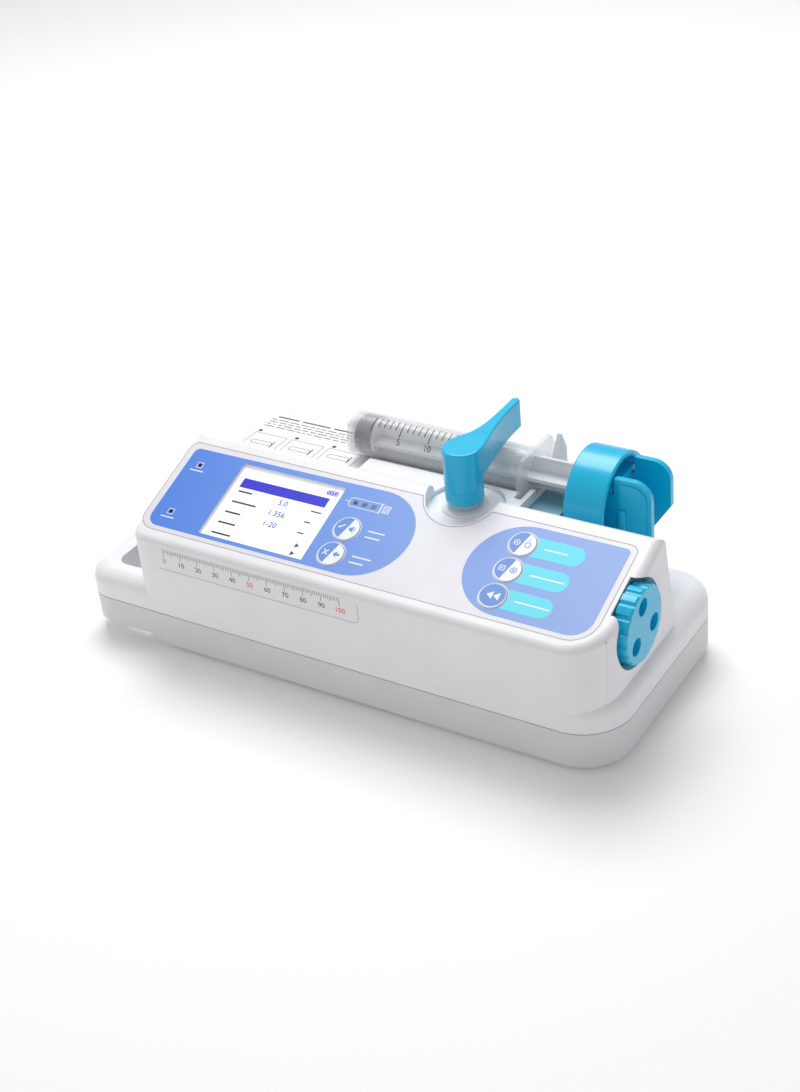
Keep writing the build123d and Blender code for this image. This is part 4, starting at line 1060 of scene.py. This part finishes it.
    def _picture(self, key: KeyMark, x: float, y: float, white: Sheet, blue: Sheet) -> None:
        """Draws one key's picture.

        Args:
            key: Which picture.
            x: The key's place along the body.
            y: The key's place up the slope.
            white: The sheet for what lies on the blue half.
            blue: The sheet for what lies on the white half.
        """
        if key is KeyMark.FAST:
            for shift in (-2.9, 0.4):
                white.add([(x + shift, y), (x + shift + 2.9, y + 2.1), (x + shift + 2.9, y - 2.1)])
        elif key is KeyMark.POWER:
            white.add(circle(x - 2.7, y, 1.55), circle(x - 2.7, y, 1.15))
            white.add(circle(x - 2.7, y, 0.5))
            blue.add(circle(x + 2.7, y - 0.3, 1.55), circle(x + 2.7, y - 0.3, 1.15))
            blue.add(rectangle(x + 2.5, x + 2.9, y + 1.7, y + 2.7))
        elif key is KeyMark.START:
            white.add(
                rectangle(x - 4.3, x - 1.3, y - 1.4, y + 1.4),
                rectangle(x - 3.9, x - 1.7, y - 1.0, y + 1.0),
            )
            white.add([(x - 3.3, y - 0.6), (x - 2.1, y), (x - 3.3, y + 0.6)])
            blue.add(circle(x + 2.8, y, 1.6), circle(x + 2.8, y, 1.2))
            blue.add(rectangle(x + 2.3, x + 3.3, y - 0.5, y + 0.5))
        elif key is KeyMark.ENTER:
            white.add(
                [
                    (x - 4.6, y),
                    (x - 3.8, y - 0.7),
                    (x - 3.0, y),
                    (x - 1.2, y + 1.7),
                    (x - 1.6, y + 2.1),
                    (x - 3.3, y + 0.6),
                ]
            )
            blue.add(
                [
                    (x + 1.3, y - 0.8),
                    (x + 2.2, y - 0.8),
                    (x + 3.4, y - 1.9),
                    (x + 3.4, y + 1.9),
                    (x + 2.2, y + 0.8),
                    (x + 1.3, y + 0.8),
                ]
            )
            blue.add(rectangle(x + 4.0, x + 4.4, y - 1.1, y + 1.1))
        else:
            for lean in (1, -1):
                white.add([
                    (x - 4.2, y - 1.3 * lean),
                    (x - 3.8, y - 1.7 * lean),
                    (x - 1.4, y + 1.3 * lean),
                    (x - 1.8, y + 1.7 * lean),
                ])
            blue.add([
                (x + 1.2, y), (x + 3.0, y + 1.7), (x + 3.0, y + 0.6), (x + 4.6, y + 0.6),
                (x + 4.6, y - 0.6), (x + 3.0, y - 0.6), (x + 3.0, y - 1.7),
            ])

    def syringe_picture(self) -> None:
        """Makes the white line drawing of a syringe round its three lamps."""
        x, y = self.faces.on_panel("syringe_lights")
        drawing = Sheet()
        drawing.add(
            rounded(x - 8.4, x + 8.6, y - 2.7, y + 2.7, (1.6, 0.6, 0.6, 1.6)),
            rounded(x - 8.1, x + 8.3, y - 2.4, y + 2.4, (1.4, 0.4, 0.4, 1.4)),
        )
        drawing.add(rectangle(x - 10.6, x - 8.5, y - 0.15, y + 0.15))
        drawing.add(rectangle(x + 8.7, x + 9.1, y - 3.3, y + 3.3))
        for shift in (10.0, 11.4, 12.8):
            drawing.add(
                rectangle(x + shift, x + shift + 0.9, y - 2.3, y + 2.3),
                rectangle(x + shift + 0.3, x + shift + 0.6, y - 2.0, y + 2.0),
            )
        self._print(drawing, "print_syringe", INK_WHITE, 3)

    def captions(self) -> None:
        """Makes plain strokes where labels stand beside the keys and lamps."""
        strokes = Sheet()
        for key, lengths in ((KeyMark.ENTER, (9.0, 8.0)), (KeyMark.CANCEL, (10.0, 7.5))):
            x, y = self.key_spots[key]
            for line, length in enumerate(lengths):
                strokes.add(bar(x + 10.5, y + 1.7 - 3.4 * line, length, 0.7))
        for key, length in ((KeyMark.POWER, 11.5), (KeyMark.START, 17.0), (KeyMark.FAST, 17.0)):
            x, y = self.key_spots[key]
            strokes.add(bar(x + 10.5, y, length, 0.7))
        for node in ("battery_light", "mains_light"):
            x, y = self.faces.on_panel(node)
            strokes.add(bar(x - 4.0, y - 3.6, 8.0, 0.6))
        self._print(strokes, "print_captions", INK_WHITE, 4)


@dataclass
class Screen:
    """The display behind its pane. Lengths are in millimetres, from the display's lower left corner."""

    faces: Faces
    width: float = 57.6
    height: float = 43.2
    pane: float = 0.8
    pane_drop: float = 0.45
    depth: float = 1.5
    row: float = 6.6

    def build(self) -> None:
        """Makes the pane, the lit ground and the figures on it."""
        dress(SCREEN_WHITE, "display_case", "display_module")
        x, y = self.faces.on_panel("display_window")
        self.left = x - self.width / 2
        self.bottom = y - self.height / 2
        pane = Sheet(self.pane)
        edge = 0.2
        pane.add(
            rounded(self.left - edge, self.left + self.width + edge, self.bottom - edge,
                    self.bottom + self.height + edge, (0.4,) * 4)
        )
        sunk = self.faces.panel(-self.pane_drop - self.pane / 2)
        lens = pane.lay("display_pane", sunk, LENS, Body.CASING, Slot.WINDOW)
        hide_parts("display_window")
        ground = Sheet(0.2)
        ground.add(rectangle(self.left - edge, self.left + self.width + edge, self.bottom - edge,
                             self.bottom + self.height + edge))
        ground.lay("display_ground", self.faces.panel(-self.depth), SCREEN_WHITE, Body.CASING, Slot.SCREEN)
        self.figures()

    def _at(self, x: float, y: float) -> Point:
        """Returns a place on the display as a place on the panel."""
        return self.left + x, self.bottom + y

    def figures(self) -> None:
        """Makes the title bar, the battery sign, the rows of values and the arrows."""
        blue = Sheet()
        left, low = self._at(3.5, 31.0)
        right, high = self._at(52.5, 36.6)
        blue.add(rectangle(left, right, low, high))
        x, y = self._at(49.5, 38.6)
        blue.add(
            rectangle(x, x + 5.6, y, y + 2.6),
            rectangle(x + 0.4, x + 5.2, y + 0.4, y + 2.2),
        )
        blue.add(rectangle(x - 0.6, x - 0.1, y + 0.8, y + 1.8))
        for step in range(3):
            blue.add(rectangle(x + 0.8 + 1.5 * step, x + 1.9 + 1.5 * step, y + 0.7, y + 1.9))
        for number, value in enumerate(("5.0", "1.356", "1-20")):
            blue.write(value, *self._at(31.0, 27.6 - self.row * number), 3.1)
        blue.lay("display_blue", self.faces.panel(-self.depth + 0.15), SCREEN_BLUE, Body.CASING, Slot.SCREEN)
        dark = Sheet()
        for number, length in enumerate((8.0, 14.0, 9.0, 10.0, 11.0)):
            x, y = self._at(4.5, 28.6 - self.row * number * 0.98)
            dark.add(bar(x, y, length, 0.9))
        for number, length in enumerate((6.0, 3.5, 3.5)):
            x, y = self._at(47.0, 27.4 - self.row * number)
            dark.add(bar(x, y, length, 0.7))
        for row in (7.0, 2.4):
            x, y = self._at(50.0, row)
            dark.add([(x, y - 1.3), (x + 2.2, y), (x, y + 1.3)])
        dark.lay("display_dark", self.faces.panel(-self.depth + 0.15), SCREEN_DARK, Body.CASING, Slot.SCREEN)


@dataclass
class Ruler:
    """The ruler printed on the front face, in millimetres."""

    faces: Faces
    zero: float = 56.0
    length: int = 100
    top: float = 61.6
    minor: float = 2.2
    middle: float = 3.2
    major: float = 4.6
    figure: float = 2.7
    figure_z: float = 54.6
    tick: float = 0.22

    def build(self) -> None:
        """Makes the ticks, the figures and the corner line."""
        dress(PAPER, "ruler_strip_film", "ruler_strip")
        ticks = Sheet()
        for step in range(self.length + 1):
            drop = self.major if step % 10 == 0 else self.middle if step % 5 == 0 else self.minor
            x = self.zero + step
            ticks.add(rectangle(x - self.tick / 2, x + self.tick / 2, self.top - drop, self.top))
        ticks.lay("ruler_ticks", self.faces.wall(0.02), INK_GREY, Body.CASING, Slot.LABEL)
        black, red = Sheet(), Sheet()
        for step in range(0, self.length + 1, 10):
            sheet = red if step % 50 == 0 else black
            sheet.write(str(step), self.zero + step, self.figure_z, self.figure)
        black.lay("ruler_figures", self.faces.wall(0.02), INK_GREY, Body.CASING, Slot.LABEL)
        red.lay("ruler_red_figures", self.faces.wall(0.02), INK_RED, Body.CASING, Slot.LABEL)
        low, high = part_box("ruler_strip")
        x0, x1 = low.x / MM - self.faces.left, high.x / MM - self.faces.left
        z0, z1 = low.z / MM, high.z / MM
        edge = Sheet()
        outer = [(x1 - 0.25, z1 - 2), (x1 - 0.25, z0 + 3)] + arc(x1 - 3.25, z0 + 3.25, 3.0, 0, -90, 8)
        inner = arc(x1 - 3.25, z0 + 3.25, 2.8, -90, 0, 8) + [(x1 - 0.45, z0 + 3), (x1 - 0.45, z1 - 2)]
        start = [(x0 + 4, z0 + 0.25), (x0 + 4, z0 + 0.45)]
        edge.add(outer + start + inner)
        edge.lay("ruler_edge_line", self.faces.wall(0.02), INK_LINE, Body.CASING, Slot.LABEL)


@dataclass
class InstructionLabel:
    """The loading label on the deck, with strokes for its lines and three small pictures, in millimetres."""

    faces: Faces
    words: tuple[float, ...] = (3.2, 5.1, 2.4, 6.0, 4.2, 1.8, 5.6, 3.6, 2.9, 4.8)
    gap: float = 1.1
    stroke: float = 0.55

    def build(self) -> None:
        """Makes the label's strokes, dots and pictures."""
        dress(PAPER, "label_paper", "instruction_label")
        low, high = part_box("instruction_label")
        x0, x1 = low.x / MM - self.faces.left + 6, high.x / MM - self.faces.left - 6
        y0, y1 = low.y / MM - self.faces.front + 3, high.y / MM - self.faces.front - 4
        lines = Sheet()
        lines.add(bar(x0 + 2, y1, 13, 1.0))
        lines.add(bar(x0 + 17, y1, 17, 1.0))
        lines.add(bar(x0 + 36, y1, 15, 1.0))
        for line in range(4):
            self._line(lines, x0, x1 - 4 * line, y1 - 3.0 - 2.3 * line, line)
        lines.lay("label_lines", self.faces.top(0.02), INK_GREY, Body.CASING, Slot.LABEL)
        marks = Sheet()
        third = (x1 - x0) / 3
        for number in range(3):
            x = x0 + third * number
            marks.add(circle(x + 1.5, y0 + 18.5, 1.1, 24))
            frame_top = y0 + 16.5
            marks.add(
                rectangle(x, x + third - 3, y0 + 2, frame_top),
                rectangle(x + 0.25, x + third - 3.25, y0 + 2.25, frame_top - 0.25),
            )
            barrel_y = y0 + 8 + number
            marks.add(bar(x + 3, barrel_y, third - 10, 3.4), bar(x + 3.3, barrel_y, third - 10.6, 2.8))
            marks.add(rectangle(x + third - 7, x + third - 6.4, y0 + 5 + number, y0 + 11 + number))
        marks.lay("label_pictures", self.faces.top(0.02), INK_GREY, Body.CASING, Slot.LABEL)

    def _line(self, sheet: Sheet, start: float, end: float, y: float, first: int) -> None:
        """Adds one line of word-length strokes between start and end."""
        x, number = start, first
        while x + self.words[number % len(self.words)] < end:
            length = self.words[number % len(self.words)]
            sheet.add(bar(x, y, length, self.stroke))
            x += length + self.gap
            number += 3


# ------------------------------------------------------------------ moving parts
@dataclass
class JogWheel:
    """The wheel at the right end and a dark sheet behind it that paints the shade of its pocket. Lengths are
    in millimetres.
    """

    faces: Faces
    pocket_radius: float = 20.4
    shaft_hole: float = 3.4
    liner: float = 0.3
    thickness: float = 7.5
    back_gap: float = 0.65
    skin: float = 0.8

    def build(self) -> None:
        """Dresses the wheel and makes the dark sheet of painted shade on the pocket floor."""
        dress(CYAN, "wheel_cyan", "jog_wheel")
        dress(BLACK, "encoder_black", "jog_encoder")
        low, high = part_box("jog_wheel")
        centre = (low + high) / 2
        floor_x = high.x - (self.thickness + self.back_gap) * MM
        slope = math.tan(self.faces.slope)
        mid_y, mid_z = centre.y / MM, centre.z / MM
        brim = self.faces.panel(-self.skin).translation / MM
        rim = [
            (y, min(z, brim.z + (mid_y + y - brim.y) * slope - mid_z))
            for y, z in circle(0, 0, self.pocket_radius, 96)
        ]
        # A dark sheet on the pocket floor behind the wheel: painted shade of the pocket.
        liner = Sheet(self.liner)
        liner.add(rim, circle(0, 0, self.shaft_hole))
        wall = Matrix.Rotation(math.pi / 2, 4, "Z") @ Matrix.Rotation(math.pi / 2, 4, "X")
        place = Matrix.Translation((floor_x + self.liner / 2 * MM, centre.y, centre.z)) @ wall
        liner.lay("jog_pocket_liner", place, POCKET_PAINTED_SHADE, Body.CASING, Slot.TEAL)


@dataclass
class Drive:
    """The screw drive inside the casing."""

    def build(self) -> None:
        """Dresses the drive's metal and plastic."""
        dress(ALLOY, "drive_alloy", "drive_frame", "carriage_block")
        dress(STEEL, "drive_steel", "guide_rods", "lead_screw", "screw_bearings", "clamp_spring")
        dress(BRONZE, "drive_bronze", "motor_pinion", "half_nut", "carriage_bushes")
        dress(BRASS, "gear_brass", "screw_gear")
        dress(BLACK, "motor_black", "stepper_motor", "clamp_collar")
        # The slide parts take TEAL, the painted shade of their blue plastic.
        dress(TEAL, "slide_teal_painted_shade", "slide_guide", "slide_plate")


@dataclass
class Clamp:
    """The swing-over arm on its lifting post. Lengths are in millimetres."""

    seam_from_foot: float = 6.0
    seam_height: float = 0.25
    sleeve_radius: float = 9.0

    def build(self) -> None:
        """Dresses the clamp and makes the seam round its sleeve."""
        dress(CYAN, "arm_cyan", "clamp_arm")
        dress(SLEEVE, "post_grey", "clamp_shaft")
        dress(WHITE, "bush_white", "clamp_bush")
        low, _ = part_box("clamp_arm")
        post = middle("clamp_bush")
        radius, height = self.sleeve_radius, self.seam_height
        ring = [
            (radius - 0.1, 0),
            (radius + 0.06, 0),
            (radius + 0.06, height),
            (radius - 0.1, height),
            (radius - 0.1, 0),
        ]
        place = Vector((post.x, post.y, low.z + self.seam_from_foot * MM))
        seam = turned(ring, place, "Z", "clamp_sleeve_seam", CYAN, 96)
        fix(seam, Body.CLAMP)


@dataclass
class Pusher:
    """The pusher head and its two squeeze levers. Lengths are in millimetres."""

    inset: float = 2.2
    raised: float = 0.6
    block: float = 1.8

    def build(self) -> None:
        """Dresses the pusher and makes the raised plates on its levers."""
        dress(CYAN, "pusher_cyan", "pusher_hood", "pusher_body", "lever_front", "lever_rear")
        dress(STEEL_UPRIGHT, "pin_steel", "lever_pins")
        self.lever_plate("lever_front", Body.FRONT_LEVER, -1)
        self.lever_plate("lever_rear", Body.REAR_LEVER, 1)

    def lever_plate(self, node: str, body: Body, side: int) -> None:
        """Makes the raised plate and the finger block on a lever's outer face.

        Args:
            node: The lever's node.
            body: The body it moves with.
            side: -1 for the front lever, 1 for the rear one.
        """
        low, high = (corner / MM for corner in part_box(node))
        hood_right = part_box("pusher_hood")[1].x / MM
        face = low.y if side < 0 else high.y
        start, end = hood_right + 0.6 + self.inset, high.x - self.inset
        bottom = low.z + self.inset + (14.0 if side > 0 else 0.0)
        plate = Sheet(2 * self.raised)
        radii = (1.0, 1.0 if side < 0 else 4.0, 9.0 - self.inset, 1.0)
        plate.add(rounded(start, end, bottom, high.z - self.inset, radii))
        plane = Matrix.Translation((0, face * MM, 0)) @ Matrix.Rotation(math.pi / 2, 4, "X")
        name = node.replace("lever", "lever_plate")
        plate.lay(name, plane, CYAN, body, Slot.BLUE)
        outer = face + side * self.block
        block = solid_box(
            Vector((start, min(face, outer), low.z + 13.0)) * MM,
            Vector((start + 3.4, max(face, outer), low.z + 25.0)) * MM,
            node.replace("lever", "lever_block"),
            CYAN,
            0.5,
        )
        fix(block, body)


@dataclass
class Syringe:
    """The loaded syringe. Lengths are in millimetres."""

    radius: float = 10.85
    volume: int = 20
    pitch: float = 3.2
    tick: float = 0.5
    short: float = 5.5
    long: float = 8.5
    start_turn: float = 1.0
    figure: float = 3.2

    def build(self) -> None:
        """Dresses the syringe and makes its scale and the collar of its outlet."""
        dress(BARREL, "barrel_clear", "syringe_barrel")
        dress(PLUNGER, "plunger_milky", "syringe_plunger")
        dress(STOPPER, "stopper_rubber", "syringe_stopper")
        self.scale()
        self.collar()

    def scale(self) -> None:
        """Makes the millilitre ticks and figures, bent round the barrel."""
        barrel = middle("syringe_barrel")
        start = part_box("syringe_stopper")[1].x / MM + 0.8
        sheet = Sheet(0.04)
        for step in range(self.volume + 1):
            reach = self.long if step % 5 == 0 else self.short
            x = start + step * self.pitch
            low, high = -self.start_turn - reach, -self.start_turn
            steps = 12
            side = [low + (high - low) * part / steps for part in range(steps + 1)]
            right_side = [(x + self.tick / 2, y) for y in side]
            left_side = [(x - self.tick / 2, y) for y in reversed(side)]
            sheet.add(right_side + left_side)
        for step in range(5, self.volume + 1, 5):
            x = start + step * self.pitch
            sheet.write(str(step), x, -self.start_turn - self.long - self.figure * 0.8, self.figure)
        sheet.wrap(self.radius + 0.03)
        plane = Matrix.Translation((0, barrel.y, barrel.z))
        sheet.lay("barrel_scale", plane, INK_GREY, Body.CASING, Slot.BLACK)

    def collar(self) -> None:
        """Makes the small collar at the root of the outlet nozzle."""
        low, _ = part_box("syringe_barrel")
        barrel = middle("syringe_barrel")
        place = Vector((low.x + 9.0 * MM, barrel.y + 5.5 * MM, barrel.z))
        ring = [(2.25, 0.0), (4.3, 0.0), (4.1, -1.4), (2.7, -2.4), (2.25, -2.4), (2.25, 0.0)]
        collar = turned(ring, place, "X", "outlet_collar", BARREL, 40)
        fix(collar, Body.CASING)


# ------------------------------------------------------------------ floor, lights and camera
@dataclass
class Studio:
    """The floor, soft lights and camera. Lengths are in metres and angles in degrees."""

    camera_place: tuple[float, float, float] = (0.41592, -0.59984, 0.51116)
    azimuth: float = 34.33
    elevation: float = 32.29
    roll: float = -5.75
    lens: float = 59.6
    floor_size: float = 8.0

    def build(self) -> None:
        """Makes the floor, the lights, the surroundings and the camera."""
        self.floor()
        self.lights()
        self.camera()

    def floor(self) -> None:
        """Makes the plain pale floor."""
        shape = bmesh.new()
        bmesh.ops.create_grid(shape, x_segments=1, y_segments=1, size=self.floor_size)
        floor = to_object(shape, "studio_floor", PrintedInk((0.93, 0.93, 0.935), roughness=0.6, glow=0.07))
        world = bpy.data.worlds.new("studio_light")
        world.use_nodes = True
        background = world.node_tree.nodes["Background"]
        background.inputs["Color"].default_value = (1.0, 1.0, 1.0, 1.0)
        background.inputs["Strength"].default_value = 0.42
        bpy.context.scene.world = world
        bpy.context.scene.view_settings.view_transform = "Standard"

    def lights(self) -> None:
        """Makes a large soft light above and behind, and two weaker fills."""
        self._light("key_light", (-0.35, 0.55, 1.3), 0.9, 16.0)
        self._light("left_fill", (-1.3, -0.7, 0.9), 1.2, 2.5)
        self._light("front_fill", (0.5, -1.5, 0.7), 1.2, 1.0)

    def _light(self, name: str, place: tuple[float, float, float], size: float, power: float) -> None:
        """Makes one square area light that faces the object."""
        data = bpy.data.lights.new(name, "AREA")
        data.size = size
        data.energy = power
        light = bpy.data.objects.new(name, data)
        light.location = place
        aim = Vector((0, 0, 0.05)) - Vector(place)
        light.rotation_euler = aim.to_track_quat("-Z", "Y").to_euler()
        bpy.context.scene.collection.objects.link(light)

    def camera(self) -> None:
        """Makes the camera and sets it as the scene's."""
        data = bpy.data.cameras.new("camera")
        data.lens = self.lens
        data.clip_start = 0.01
        turn, lift = math.radians(self.azimuth), math.radians(self.elevation)
        back = Vector((math.sin(turn) * math.cos(lift), -math.cos(turn) * math.cos(lift), math.sin(lift)))
        camera = bpy.data.objects.new("camera", data)
        facing = back.to_track_quat("Z", "Y").to_matrix().to_4x4()
        roll = Matrix.Rotation(math.radians(self.roll), 4, "Z")
        camera.matrix_world = Matrix.Translation(self.camera_place) @ facing @ roll
        bpy.context.scene.collection.objects.link(camera)
        bpy.context.scene.camera = camera


def main() -> None:
    """Builds every sub-assembly in order."""
    logging.basicConfig(level=logging.INFO, format="%(name)s: %(message)s")
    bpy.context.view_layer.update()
    faces = Faces()
    parts = [
        Studio(),
        Casing(faces),
        FrontPanel(faces),
        Screen(faces),
        Ruler(faces),
        InstructionLabel(faces),
        JogWheel(faces),
        Drive(),
        Clamp(),
        Pusher(),
        Syringe(),
    ]
    for part in parts:
        LOG.info("building %s", type(part).__name__)
        part.build()


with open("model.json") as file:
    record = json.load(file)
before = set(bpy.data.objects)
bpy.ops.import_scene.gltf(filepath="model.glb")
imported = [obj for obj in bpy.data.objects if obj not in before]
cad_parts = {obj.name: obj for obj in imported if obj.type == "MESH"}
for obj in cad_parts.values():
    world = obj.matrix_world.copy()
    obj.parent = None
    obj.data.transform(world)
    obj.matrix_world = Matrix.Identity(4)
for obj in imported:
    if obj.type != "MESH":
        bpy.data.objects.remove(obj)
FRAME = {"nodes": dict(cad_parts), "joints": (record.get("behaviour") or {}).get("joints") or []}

if __name__ == "__main__":
    main()
